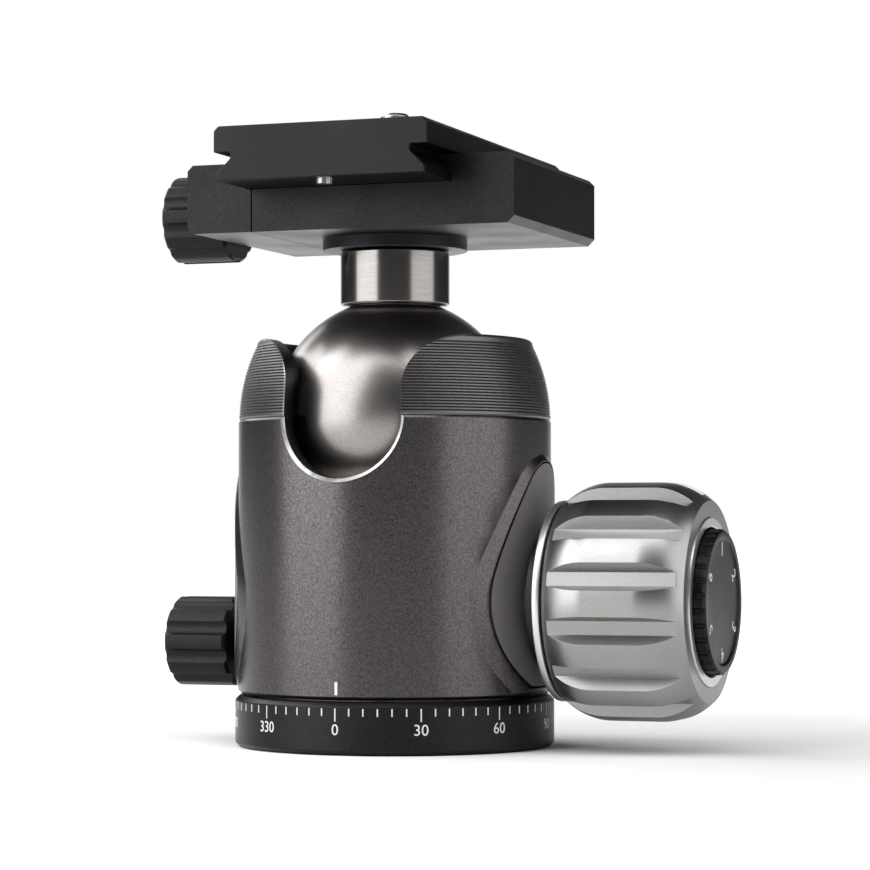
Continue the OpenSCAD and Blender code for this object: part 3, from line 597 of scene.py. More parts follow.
class Lathe(Enum):
    """Where a lathe's axis lies: its own +Z is turned along one of these directions."""

    RIGHT = Matrix.Rotation(math.pi / 2, 4, "Y")
    LEFT = Matrix.Rotation(-math.pi / 2, 4, "Y")

    def at(self, x: float, z: float) -> Matrix:
        """Gives the matrix that puts the lathe's zero at a place in millimetres."""
        return shift(x, 0, z) @ self.value


# ---- The pieces ----


@dataclass
class Dimensions:
    """The frame's sizes in millimetres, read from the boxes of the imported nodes."""

    base_r: float = field(init=False)
    base_h: float = field(init=False)
    housing_z: float = field(init=False)
    seam_z: float = field(init=False)
    body_r: float = field(init=False)
    collar_top_z: float = field(init=False)
    ball_r: float = field(init=False)
    stem_r: float = field(init=False)
    stem_z: float = field(init=False)
    stem_top_z: float = field(init=False)
    knob_axis_z: float = field(init=False)
    pan_axis_z: float = field(init=False)

    def __post_init__(self) -> None:
        """Reads the boxes."""
        base, collar, ball = self.box("base_plate"), self.box("collar"), self.box("ball")
        stem, ring, knob = self.box("stem_sleeve"), self.box("knob_ring"), self.box("pan_knob")
        self.base_r, self.base_h = base[1].x, base[1].z
        self.housing_z = self.box("pan_bush")[0].z
        self.seam_z, self.collar_top_z = collar[0].z, collar[1].z
        self.body_r = self.box("housing")[1].y
        self.ball_r = ball[1].x
        self.stem_r, self.stem_z, self.stem_top_z = stem[1].x, stem[0].z, stem[1].z
        self.knob_axis_z = (ring[0].z + ring[1].z) / 2
        self.pan_axis_z = (knob[0].z + knob[1].z) / 2

    @staticmethod
    def box(node: str) -> tuple[Vector, Vector]:
        """Gives a node's lowest and highest corners in millimetres."""
        low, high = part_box(node)
        return low / MM, high / MM


def finish_piece(piece: Piece, body: str, slot: Slot | None, *nodes: str) -> Piece:
    """Paints a piece, makes it ride on its body and hides the nodes that it stands for.

    Args:
        piece: The finished piece.
        body: The body that carries it.
        slot: Its finish, or None where its faces are painted already.
        nodes: The nodes that it replaces.

    Returns:
        The same piece.
    """
    if slot is not None:
        paint(piece, slot)
    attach(piece, body)
    if nodes:
        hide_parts(*nodes)
    return piece


def crisp_copy(node: str, width: float, body: str, slot: Slot) -> Piece:
    """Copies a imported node, joins its triangles and rounds its edges.

    Args:
        node: The node to copy.
        width: Width of the rounding in millimetres.
        body: The body that carries it.
        slot: Its finish.

    Returns:
        The copy, which replaces the node.
    """
    source = bpy.data.objects[node]
    piece = source.copy()
    piece.data = source.data.copy()
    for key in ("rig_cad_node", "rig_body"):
        if key in piece:
            del piece[key]
    piece.parent = None
    piece.name = f"{node}_finished"
    bpy.context.scene.collection.objects.link(piece)
    tidy_mesh(piece, merge=0.005, planar_deg=0.5)
    if width:
        soften(piece, width)
    else:
        shade(piece)
    return finish_piece(piece, body, slot, node)


@dataclass
class DropNotch:
    """The upright slot in the front of the housing and the collar, seen along its own axis.

    Attributes:
        centre_z: Height of the ball's centre, where the slot's round bottom is centred.
        r: Half width of the slot.
        top: Height of the collar's upper edge over that centre.
        body_r: Outer radius of the housing.
        corner_r: Radius of the rounded corners beside the slot.
        curve_r: Radius of the collar's outer curve.
        step: Set-back of the collar from the housing.
        arc_steps: Steps of each quarter arc.
        wall_steps: Steps of the straight wall between them.
    """

    centre_z: float
    r: float
    top: float
    body_r: float
    corner_r: float = 9.0
    curve_r: float = 30.0
    step: float = 0.1
    arc_steps: int = 24
    wall_steps: int = 8

    def outline(self, margin: float = 0.0) -> list[Point]:
        """Gives the slot's outline as a closed sketch, open over the collar."""
        r, top, over = self.r + margin, self.top + margin, 3.0
        centre = (r + self.corner_r, top - self.corner_r)
        right = arc((0, 0), r, -90, 0, self.arc_steps)
        right += arc(centre, self.corner_r, 180, 90, self.arc_steps)
        right.append((centre[0], top + over))
        return right + [(-x, h) for x, h in reversed(right[1:])]

    def tool(self, margin: float = 0.0) -> Piece:
        """Makes the solid that cuts the slot and paints its walls satin black as painted shade in the slot.
        """
        matrix = shift(y=-self.r, z=self.centre_z) @ UPRIGHT
        return stained(prism("notch_tool", self.outline(margin), 2 * self.body_r, matrix), SATIN_BLACK_AND_SLOT_SHADE)

    def outer_radius(self, h: float) -> float:
        """Gives the outside radius at a height over the ball's centre."""
        if h <= 0:
            return self.body_r
        return self.body_r - self.step - self.curve_r + math.sqrt(self.curve_r**2 - h**2)

    def rim(self, low: float, high: float) -> list[EdgePoint]:
        """Follows the slot's outer edge between two heights, from the left side to the right.

        Args:
            low: Lowest height over the ball's centre.
            high: Highest height over it.

        Returns:
            For each point its place, the outward normal, the way into the slot and the way down the wall.
        """
        r, corner_r, centre_h = self.r, self.corner_r, self.top - self.corner_r
        quarter = [90 * i / self.arc_steps for i in range(self.arc_steps + 1)]
        flat: list[tuple[float, float, float, float]] = []
        for c, s in [(math.cos(a), math.sin(a)) for a in (math.radians(-90 + q) for q in quarter)]:
            flat.append((r * c, r * s, -c, -s))
        flat += [(r, centre_h * i / self.wall_steps, -1.0, 0.0) for i in range(1, self.wall_steps)]
        for c, s in [(math.cos(a), math.sin(a)) for a in (math.radians(180 - q) for q in quarter)]:
            flat.append((r + corner_r + corner_r * c, centre_h + corner_r * s, c, s))
        both = [(-x, h, -tx, th) for x, h, tx, th in reversed(flat[1:])] + flat
        return [self.rim_point(*row) for row in both if low <= row[1] <= high]

    def rim_point(self, x: float, h: float, tx: float, th: float) -> EdgePoint:
        """Lifts a point of the sketch onto the outside, with its three directions."""
        r = self.outer_radius(h)
        y = -math.sqrt(r * r - x * x)
        lean = h / math.sqrt(self.curve_r**2 - h * h) if h > 0 else 0.0
        normal = Vector((x / r, y / r, lean)).normalized()
        across = Vector((tx, -x / y * tx - r * lean / y * th, th)).normalized()
        return Vector((x, y, self.centre_z + h)), normal, across, Vector((0, 1, 0))


def mill_edge(piece: Piece, rim: Sequence[EdgePoint], width: float) -> None:
    """Cuts a bright chamfer along an edge of a piece.

    Args:
        piece: The piece that gets the chamfer.
        rim: Place, outward normal, way into the opening and way down the wall of each point.
        width: Width of the chamfer in millimetres.
    """
    overlap, clearance = 0.6, 3 * width + 0.3
    points: list[Vector] = []
    for spot, normal, across, wall in rim:
        outer, inner = spot - across * width, spot + wall * width
        slope = (outer - inner) * overlap
        clear = (normal + across).normalized() * clearance
        points += [outer + slope, inner - slope, inner - slope + clear, outer + slope + clear]
    last = 4 * len(rim) - 4
    faces: list[tuple[int, ...]] = [(0, 1, 2, 3), (last, last + 1, last + 2, last + 3)]
    for a in range(0, last, 4):
        faces += [(a + k, a + (k + 1) % 4, a + 4 + (k + 1) % 4, a + 4 + k) for k in range(4)]
    tool = face_outwards(new_piece("chamfer_tool", points, faces=faces))
    boolean(piece, stained(tool, MACHINED_EDGE))


@dataclass
class Housing:
    """The housing with its raised rims, the ribbed collar, the ball's seat ring and the two side covers."""

    size: Dimensions
    segments: int = 256
    wall: float = 4.2
    floor_t: float = 6.0
    lower_bore_r: float = 19.5
    ledge_z: float = 22.0
    spindle_hole_r: float = 12.02
    edge: float = 0.6
    notch_gap: float = 1.0
    notch_chamfer: float = 0.62
    collar_chamfer: float = 0.26
    chamfer_lap: float = 1.5
    cover_half_w: float = 15.9
    cover_tip_r: float = 8.2
    cover_tip_h: float = 16.0
    cover_flank_r: float = 50.0
    cover_gap: float = 0.35
    cover_depth: float = 2.4
    cover_proud: float = 0.65
    cover_sill: float = 1.8
    cover_top_z: float = 56.0
    cover_steps: int = 144
    boss_over: float = 12.0
    boss_inner_x: float = 10.0
    lock_bore_r: float = 9.02
    pan_bore_r: float = 3.72
    bore_lap: float = 1.5
    bore_over: float = 4.0
    bore_steps: int = 72
    rim_land: float = 0.15
    slope_rings: int = 12
    slope_span: float = 2.3
    slope_reach_min: float = 1.5
    # The slope widens twice on the way down: the turn where each widening starts, its span, and by how much.
    slope_widening: tuple[tuple[float, float, float], ...] = ((15.0, 35.0, 0.7), (64.0, 18.0, 0.85))
    seam_chamfer: float = 0.42
    seam_slope: float = 0.55
    # Each corner of the bead: the height at which the wall is read, the step outwards, and its own height.
    seam_bead: tuple[tuple[float, float, float], ...] = (
        (0.0, -0.35, 0.0), (0.1, -0.1, 0.12), (0.3, 0.02, 0.4),
    )
    rib_start: float = 0.8
    rib_pitch: float = 0.52
    rib_groove_w: float = 0.3
    rib_groove_d: float = 0.22
    top_edge_r: float = 1.0
    mouth_lip: float = 0.8
    mouth_chamfer: float = 0.5
    seat_floor: float = 0.5
    seat_h: float = 8.5
    seat_margin: float = 0.3
    play: float = 0.02
    run: float = 0.05

    def __post_init__(self) -> None:
        """Works out the bore and the notch."""
        self.bore_r = self.size.body_r - self.wall
        self.notch = DropNotch(
            self.size.seam_z, self.size.stem_r + self.notch_gap,
            self.size.collar_top_z - self.size.seam_z, self.size.body_r,
        )

    def build(self) -> None:
        """Builds and dresses every piece of the housing."""
        self.shell()
        self.collar()
        self.seat_ring()
        self.cover("cover_right", 1)
        self.cover("cover_left", -1)
        self.index_mark()

    def shell(self) -> None:
        """The housing itself, with its raised rims, the covers' recesses and the slot's bright edge."""
        z0, seam, r, edge = self.size.housing_z, self.size.seam_z, self.size.body_r, self.edge
        rim_r, floor_z = r + self.cover_proud, z0 + self.floor_t
        piece = lathe("housing_shell", [
            (self.spindle_hole_r, z0), (r - edge, z0), (rim_r, z0 + edge + self.cover_proud), (rim_r, seam),
            (self.bore_r, seam), (self.bore_r, self.ledge_z), (self.lower_bore_r, self.ledge_z),
            (self.lower_bore_r, floor_z), (self.spindle_hole_r, floor_z),
        ], self.segments)
        paint(piece, Slot.HOUSING)
        low, high, slant = z0 - 1, seam + 1, seam - self.seam_chamfer
        inner = r - self.seam_slope * (high - slant)
        outline = [(r, low), (rim_r + 1, low), (rim_r + 1, high), (inner, high), (r, slant)]
        spare = lathe("spare_tool", outline, self.segments)
        for side in (1, -1):
            boolean(spare, self.boss_tool(side))
        boolean(piece, spare)
        for side in (1, -1):
            boolean(piece, self.recess_tool(side))
        boolean(piece, self.notch.tool())
        mill_edge(piece, self.notch.rim(-self.notch.r, self.chamfer_lap), self.notch_chamfer)
        for side in (1, -1):
            boolean(piece, self.bore_tool(side, self.lower_bore_r - self.bore_lap))
        tidy_mesh(piece)
        soften(piece, 0.12, angle_deg=12, smooth_deg=28)
        finish_piece(piece, "housing", None, "housing")

    def bore_tool(self, side: int, start: float) -> Piece:
        """Makes the solid that cuts the hole of a side's bushing and paints the hole's walls black as
        painted shade.

        Args:
            side: 1 for the lock knob's bushing, -1 for the pan lock's.
            start: Where the hole starts, as a distance to the pan axis in millimetres.

        Returns:
            The tool.
        """
        way, r, height = {
            1: (Lathe.RIGHT, self.lock_bore_r, self.size.knob_axis_z),
            -1: (Lathe.LEFT, self.pan_bore_r, self.size.pan_axis_z),
        }[side]
        outline = rect(0.0, 0.0, r, self.size.body_r + self.bore_over - start)
        tool = lathe("bore_tool", outline, self.bore_steps, way.at(side * start, height))
        return stained(tool, BLACK_NYLON_AND_GAP_SHADE)

    def cover_outline(self, margin: Callable[[float], float]) -> list[Point]:
        """Follows a side cover's outline: a tip, two flanks and a lower end, all arcs.

        Args:
            margin: How far the outline is grown, for a turn in degrees from its top.

        Returns:
            Height over the knob's axis and Y of each corner.
        """
        to_end, to_tip = self.cover_flank_r - self.cover_half_w, self.cover_flank_r - self.cover_tip_r
        height = (to_end**2 - to_tip**2 + self.cover_tip_h**2) / (2 * self.cover_tip_h)
        y = -math.sqrt(to_end**2 - height**2)
        tip_turn = math.degrees(math.atan2(-y, self.cover_tip_h - height))
        end_turn = math.degrees(math.atan2(-y, -height))
        points = []
        for i in range(self.cover_steps):
            turn = 360 * i / self.cover_steps
            half, flank_y = (turn, y) if turn <= 180 else (360 - turn, -y)
            if half < tip_turn:
                centre, r = (self.cover_tip_h, 0.0), self.cover_tip_r
            elif half < end_turn:
                centre, r = (height, flank_y), self.cover_flank_r
            else:
                centre, r = (0.0, 0.0), self.cover_half_w
            points += arc(centre, r + margin(half), turn, turn, 1)[:1]
        return points

    def cover_prism(self, margin: float, side: int) -> Piece:
        """Makes the prism of one cover's outline along the X axis, which paints the walls in the gap black
        as painted shade.
        """
        way = Lathe.RIGHT if side > 0 else Lathe.LEFT
        outline = [(-side * h, y) for h, y in self.cover_outline(lambda _: margin)]
        tool = prism("cover_tool", outline, 2 * self.size.body_r, way.at(0, self.size.knob_axis_z))
        return stained(tool, BLACK_NYLON_AND_GAP_SHADE)

    def slope_reach(self, turn: float) -> float:
        """Gives how far the rim's slope reaches from the cover's edge, at a turn from the cover's top."""
        reach = self.slope_reach_min
        for start, span, more in self.slope_widening:
            reach += more * min(max((turn - start) / span, 0.0), 1.0)
        return reach

    def boss_tool(self, side: int) -> Piece:
        """Makes the raised ground of one cover, with a slope all round that runs out on the housing's wall.

        Args:
            side: 1 for the lock knob's side, -1 for the other.

        Returns:
            The closed solid, longer than needed to both sides.
        """
        body_r, steps, rings = self.size.body_r, self.cover_steps, self.slope_rings
        crest = self.cover_gap + self.rim_land
        ends = {-1: body_r + self.boss_over, rings + 1: self.boss_inner_x}
        points: list[tuple[float, float, float]] = []
        for k in range(-1, rings + 2):
            share = -1.0 + self.slope_span * min(max(k, 0), rings) / rings
            r = body_r + self.cover_proud * (1 - share)
            for h, y in self.cover_outline(lambda t: crest + share * (self.slope_reach(t) - crest)):
                points.append((side * ends.get(k, math.sqrt(r * r - y * y)), y, self.size.knob_axis_z + h))
        faces: list[Sequence[int]] = [range(steps), range((rings + 2) * steps, (rings + 3) * steps)]
        for a in range(0, (rings + 2) * steps, steps):
            b = a + steps
            faces += [(a + i, a + (i + 1) % steps, b + (i + 1) % steps, b + i) for i in range(steps)]
        return face_outwards(new_piece("boss_tool", points, faces=faces))

    def recess_tool(self, side: int) -> Piece:
        """Makes the solid that cuts the recess of one cover and paints its walls black as painted shade."""
        low = self.size.housing_z + self.cover_sill - self.cover_gap
        outline = rect(self.size.body_r - self.cover_depth, low, self.size.body_r + 2, self.cover_top_z)
        ring = stained(lathe("recess_tool", outline, self.segments), BLACK_NYLON_AND_GAP_SHADE)
        boolean(ring, self.cover_prism(self.cover_gap, side), "INTERSECT")
        return ring

    def collar(self) -> None:
        """The collar, with its turned ribs, its bead at the seam and a fine bright edge along the slot."""
        z, top, edge_r = self.size.seam_z, self.notch.top, self.top_edge_r
        out = self.notch.outer_radius
        outline = [(self.bore_r, 0.0)] + [(out(level) + step, h) for level, step, h in self.seam_bead]
        height = self.rib_start
        while height + self.rib_groove_w < top - edge_r:
            middle, end = height + self.rib_groove_w / 2, height + self.rib_groove_w
            outline += [(out(height), height), (out(middle) - self.rib_groove_d, middle), (out(end), end)]
            height += self.rib_pitch
        outline += arc((out(top - edge_r) - edge_r, top - edge_r), edge_r, 0, 90, steps=6)
        mouth_r, seat_top = self.size.ball_r - self.mouth_lip, self.seat_floor + self.seat_h + self.play
        outline += [
            (mouth_r + self.mouth_chamfer, top), (mouth_r, top - self.mouth_chamfer), (mouth_r, seat_top),
            (self.bore_r, seat_top),
        ]
        piece = lathe("collar_ribbed", [(r, h + z) for r, h in outline], self.segments)
        paint(piece, Slot.COLLAR)
        boolean(piece, self.notch.tool())
        mill_edge(piece, self.notch.rim(-self.chamfer_lap, top), self.collar_chamfer)
        tidy_mesh(piece)
        shade(piece, smooth_deg=24)
        finish_piece(piece, "housing", None, "collar")

    def seat_ring(self) -> None:
        """The black ring whose round inside holds the ball down."""
        r, low, high = self.size.ball_r + self.run, self.seat_floor, self.seat_floor + self.seat_h
        start, end = math.degrees(math.asin(low / r)), math.degrees(math.asin(high / r))
        outer = self.bore_r - self.play
        outline = arc((0, 0), r, start, end, steps=24) + [(outer, high), (outer, low)]
        piece = lathe("seat_ring_turned", [(q, h + self.size.seam_z) for q, h in outline], self.segments)
        paint(piece, Slot.BLACK_ACETAL)
        boolean(piece, self.notch.tool(self.seat_margin))
        shade(piece, smooth_deg=28)
        finish_piece(piece, "housing", None, "seat_ring")

    def cover(self, node: str, side: int) -> None:
        """One side cover, flush with the raised rim around it.

        Args:
            node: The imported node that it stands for.
            side: 1 for the lock knob's side, -1 for the other.
        """
        inner = self.size.body_r - self.cover_depth + self.play
        outer, low = self.size.body_r + self.cover_proud, self.size.housing_z + self.cover_sill
        piece = lathe(f"{node}_shell", rect(inner, low, outer, self.cover_top_z), self.segments)
        # The cover's finish is set lighter: painted light in the knob's shadow.
        paint(piece, Slot.COVER)
        # The cover's sides and its hole's walls take black from the tools: painted shade in the gap.
        boolean(piece, self.cover_prism(0.0, side), "INTERSECT")
        boolean(piece, self.bore_tool(side, self.lower_bore_r))
        tidy_mesh(piece)
        soften(piece, 0.1, angle_deg=40, smooth_deg=30)
        finish_piece(piece, "housing", None, node)

    def index_mark(self) -> None:
        """The painted line at the housing's foot that points at the pan scale."""
        width, height, root, proud = 0.5, 2.2, 0.2, 0.06
        matrix = shift(y=-(self.size.body_r - root), z=self.size.housing_z + 0.9) @ UPRIGHT
        mark = prism("pan_index_mark", rect(-width / 2, 0, width / 2, height), root + proud, matrix)
        finish_piece(mark, "housing", Slot.MARK)


@dataclass
class Ball:
    """The ball with its neck, and the stem's sleeve."""

    size: Dimensions
    segments: int = 192
    neck_r: float = 8.0
    sleeve_chamfer: float = 0.35

    def build(self) -> None:
        """Builds both pieces."""
        r, z, neck_r = self.size.ball_r, self.size.seam_z, self.neck_r
        low, high, rim, c = self.size.stem_z, self.size.stem_top_z, self.size.stem_r, self.sleeve_chamfer
        outline = arc((0, 0), r, -90, math.degrees(math.acos(neck_r / r)), steps=88)
        outline += [(neck_r, high - z), (0.0, high - z)]
        ball = lathe("ball_turned", [(q, h + z) for q, h in outline], self.segments)
        shade(ball, smooth_deg=35)
        finish_piece(ball, "ball", Slot.TITANIUM, "ball")
        sleeve = lathe("stem_sleeve_turned", [
            (neck_r, low), (rim - c, low), (rim, low + c), (rim, high - c), (rim - c, high), (neck_r, high),
        ], self.segments)
        soften(sleeve, 0.12, angle_deg=25, smooth_deg=20)
        finish_piece(sleeve, "ball", Slot.STEM, "stem_sleeve")


@dataclass
class LockKnob:
    """The main lock knob: bright ring, dark groove, fluted shell and the friction dial in its end."""

    size: Dimensions
    segments: int = 280
    screw_hole_r: float = 5.02
    end_r: float = 17.5
    barrel_r: float = 20.8
    crown_l: float = 8.0
    crown_steps: int = 16
    flutes: int = 14
    floor_r: float = 18.5
    floor_w: float = 2.4
    flare: float = 0.57
    hub_r: float = 15.92
    end_wall: float = 3.5
    pocket_gap: float = 0.3
    bezel_w: float = 1.8
    bezel_depth: float = 1.5
    play: float = 0.02
    dial_chamfer: float = 0.5
    lip: Point = (1.6, 2.0)
    face_sink: float = 0.35
    grip_notches: int = 30
    grip_r: float = 0.62
    grip_out: float = 0.2
    number_r: float = 9.0
    number_h: float = 2.6

    def build(self) -> None:
        """Builds every piece of the knob."""
        self.ring()
        crisp_copy("knob_hub", 0.1, "lock_knob", Slot.NYLON)
        self.shell()
        crisp_copy("knob_bezel", 0.25, "lock_knob", Slot.BRIGHT)
        self.dial()

    def axis(self, x: float) -> Matrix:
        """Gives the matrix of a lathe whose zero lies at x on the knob's axis."""
        return Lathe.RIGHT.at(x, self.size.knob_axis_z)

    def ring(self) -> None:
        """The bright ring next to the housing."""
        low, high = self.size.box("knob_ring")
        outline = rect(self.screw_hole_r, 0.0, high.y, high.x - low.x)
        piece = lathe("knob_ring_turned", outline, self.segments, self.axis(low.x))
        soften(piece, 0.28, segments=3)
        finish_piece(piece, "lock_knob", Slot.BRIGHT, "knob_ring")

    def shell(self) -> None:
        """The fluted shell, crowned at both ends."""
        low, high = self.size.box("knob_shell")
        length, rise = high.x - low.x, self.barrel_r - self.end_r
        arc_r = (self.crown_l**2 + rise**2) / (2 * rise)
        sweep = math.degrees(math.asin(self.crown_l / arc_r))
        centre_r = self.barrel_r - arc_r
        crown = arc((centre_r, self.crown_l), arc_r, -sweep, 0, self.crown_steps)
        crown += arc((centre_r, length - self.crown_l), arc_r, 0, sweep, self.crown_steps)
        pocket = self.size.box("friction_dial")[1].y + self.pocket_gap
        rim = pocket + self.bezel_w + self.play
        back, ledge = length - self.end_wall, length - self.bezel_depth
        piece = lathe("knob_shell_fluted", crown + [
            (rim, length), (rim, ledge), (pocket, ledge), (pocket, back),
            (self.hub_r, back), (self.hub_r, 0.0),
        ], self.segments)
        half, depth = self.floor_w / 2, self.barrel_r - self.floor_r + 1
        wide, top = half + self.flare * depth, self.floor_r + depth
        outline = [(self.floor_r, -half), (top, -wide), (top, wide), (self.floor_r, half)]
        flute = prism("flute", outline, length + 2, shift(z=-1))
        boolean(piece, ring_copies("flutes", flute, self.flutes))
        place(piece, self.axis(low.x))
        tidy_mesh(piece)
        soften(piece, 0.22, segments=3, angle_deg=18, smooth_deg=30)
        finish_piece(piece, "lock_knob", Slot.SILVER, "knob_shell")

    def dial(self) -> None:
        """The friction dial, with a grip edge and plain numbers."""
        low, high = self.size.box("friction_dial")
        length, r = high.x - low.x, high.y
        face = length - self.face_sink
        piece = lathe("friction_dial_turned", [
            (0.0, 0.0), (r, 0.0), (r, length - self.dial_chamfer), (r - self.dial_chamfer, length),
            (r - self.lip[0], length), (r - self.lip[1], face), (0.0, face),
        ], 240)
        grip = rect(0.0, -1.0, self.grip_r, length - self.end_wall + 2)
        notch = lathe("grip_notch", grip, 16, shift(r + self.grip_out, 0, self.end_wall))
        boolean(piece, ring_copies("grip_notches", notch, self.grip_notches))
        place(piece, self.axis(low.x))
        tidy_mesh(piece)
        soften(piece, 0.1)
        finish_piece(piece, "friction_dial", Slot.BLACK, "friction_dial")
        marks = [self.dial_mark(number, high.x - self.face_sink) for number in range(1, 7)]
        finish_piece(joined("friction_numbers", marks), "friction_dial", Slot.MARK)

    def dial_mark(self, number: int, face_x: float) -> Piece:
        """Makes one number on the dial's face, a sixth of a turn on from the one before."""
        turned = Matrix.Rotation(math.pi - math.radians(60.0 * (number - 1)), 4, "Z")
        upright = Matrix.Rotation(-math.pi / 2, 4, "Z")
        mark = lettering(str(number), self.number_h, depth=0.05)
        return place(mark, self.axis(face_x) @ turned @ shift(self.number_r) @ upright)


def lettering(words: str, height: float, depth: float) -> Piece:
    """Makes plain flat numbers as a mesh, centred on the origin and facing +Z.

    Args:
        words: The digits.
        height: Their height in millimetres.
        depth: How far they stand out, in millimetres.

    Returns:
        The mesh piece.
    """
    bpy.ops.object.select_all(action="DESELECT")
    bpy.ops.object.text_add(location=(0, 0, 0))
    text = bpy.context.object
    text.data.body = words
    text.data.align_x = "CENTER"
    text.data.align_y = "CENTER"
    text.data.size = height * MM * TEXT_SIZE_PER_DIGIT
    text.data.extrude = depth * MM
    text.data.resolution_u = 3
    activate(text)
    bpy.ops.object.convert(target="MESH")
    piece = bpy.context.object
    piece.data.materials.clear()
    return piece


@dataclass
class Base:
    """The base plate with its pan scale, and the thread insert."""

    size: Dimensions
    chamfer: float = 0.8
    tick_gap: float = 0.25
    tick_h: float = 1.3
    long_tick_h: float = 2.2
    tick_w: float = 0.22
    number_h: float = 2.0
    number_drop: float = 1.5
    root: float = 0.1

    def build(self) -> None:
        """Builds the plate and its scale."""
        crisp_copy("base_plate", 0.15, "base", Slot.BLACK)
        crisp_copy("thread_insert", 0.0, "base", Slot.BRASS)
        crisp_copy("spindle_screws", 0.0, "base", Slot.BLACK_STEEL)
        self.scale()

    def scale(self) -> None:
        """Paints a tick every 5 degrees and a number every 30 around the plate's edge."""
        parts = [
            self.tick(math.radians(5 * i), self.tick_h if i % 6 else self.long_tick_h) for i in range(72)
        ]
        parts += [self.number(str(30 * i), math.radians(30 * i)) for i in range(12)]
        finish_piece(joined("pan_scale", parts), "base", Slot.MARK)

    def tick(self, turn: float, height: float) -> Piece:
        """Makes one tick of the scale."""
        w, top = self.tick_w, self.size.base_h - self.chamfer - self.tick_gap
        outwards = shift(y=-(self.size.base_r - self.root)) @ UPRIGHT
        outline = rect(-w / 2, top - height, w / 2, top)
        return prism("tick", outline, self.root + 0.04, Matrix.Rotation(turn, 4, "Z") @ outwards)

    def number(self, words: str, turn: float) -> Piece:
        """Makes one number of the scale, bent around the plate.

        Args:
            words: The number.
            turn: Its place on the scale, in radians.

        Returns:
            The mesh piece.
        """
        mark = lettering(words, self.number_h, depth=0.04)
        r = self.size.base_r
        z = self.size.base_h - self.chamfer - self.tick_gap - self.long_tick_h - self.number_drop
        for vertex in mark.data.vertices:
            across, up, out = vertex.co / MM
            angle, reach = across / r + turn, r + out
            vertex.co = Vector((reach * math.sin(angle), -reach * math.cos(angle), z + up)) * MM
        mark.data.update()
        return mark


@dataclass
class PanLock:
    """The small pan lock knob low on the left side."""

    size: Dimensions

    def build(self) -> None:
        """Dresses its pieces."""
        crisp_copy("pan_bushing", 0.15, "housing", Slot.BLACK_STEEL)
        crisp_copy("pan_knob", 0.25, "pan_knob", Slot.BLACK)
        crisp_copy("pan_knob_cap", 0.12, "pan_knob", Slot.SILVER)


@dataclass
class Clamp:
    """The dovetail clamp with its level and its knob."""

    size: Dimensions
    ring_r: Point = (1.75, 2.0)
    bubble_r: float = 1.2
    bubble_flatness: float = 0.09

    def build(self) -> None:
        """Dresses the clamp's pieces."""
        crisp_copy("clamp_body", 0.35, "clamp", Slot.BLACK)
        crisp_copy("clamp_jaw", 0.35, "clamp_jaw", Slot.BLACK)
        crisp_copy("guide_pins", 0.0, "clamp_jaw", Slot.STEEL)
        crisp_copy("clamp_screw", 0.0, "clamp_knob", Slot.STEEL)
        crisp_copy("clamp_knob", 0.25, "clamp_knob", Slot.BLACK)
        crisp_copy("clamp_knob_cap", 0.12, "clamp_knob", Slot.SILVER)
        self.level()

    def level(self) -> None:
        """The round level: a clear vial with green liquid, a black ring and a bubble."""
        low, high = self.size.box("bubble_level")
        centre = shift((low.x + high.x) / 2, (low.y + high.y) / 2)
        r, top, edge = (high.x - low.x) / 2, high.z, 0.3
        outline = [(0.0, low.z), (r, low.z), (r, top - edge), (r - edge, top), (0.0, top)]
        vial = lathe("bubble_level_vial", outline, 96, centre)
        shade(vial, smooth_deg=30)
        finish_piece(vial, "clamp", Slot.LIQUID, "bubble_level")
        outline = rect(self.ring_r[0], top - 0.04, self.ring_r[1], top + 0.03)
        ring = lathe("level_ring", outline, 64, centre)
        finish_piece(ring, "clamp", Slot.BLACK_ACETAL)
        foot, crown = top - 0.02, top + 0.088
        quarter = arc((0.0, 0.0), self.bubble_r, 0, 90, steps=10)
        dome = [(q, foot + h * self.bubble_flatness) for q, h in quarter[:-1]]
        bubble = lathe("level_bubble", [(0.0, foot)] + dome + [(0.0, crown)], 48, centre)
        shade(bubble, smooth_deg=40)
        finish_piece(bubble, "clamp", Slot.BUBBLE)


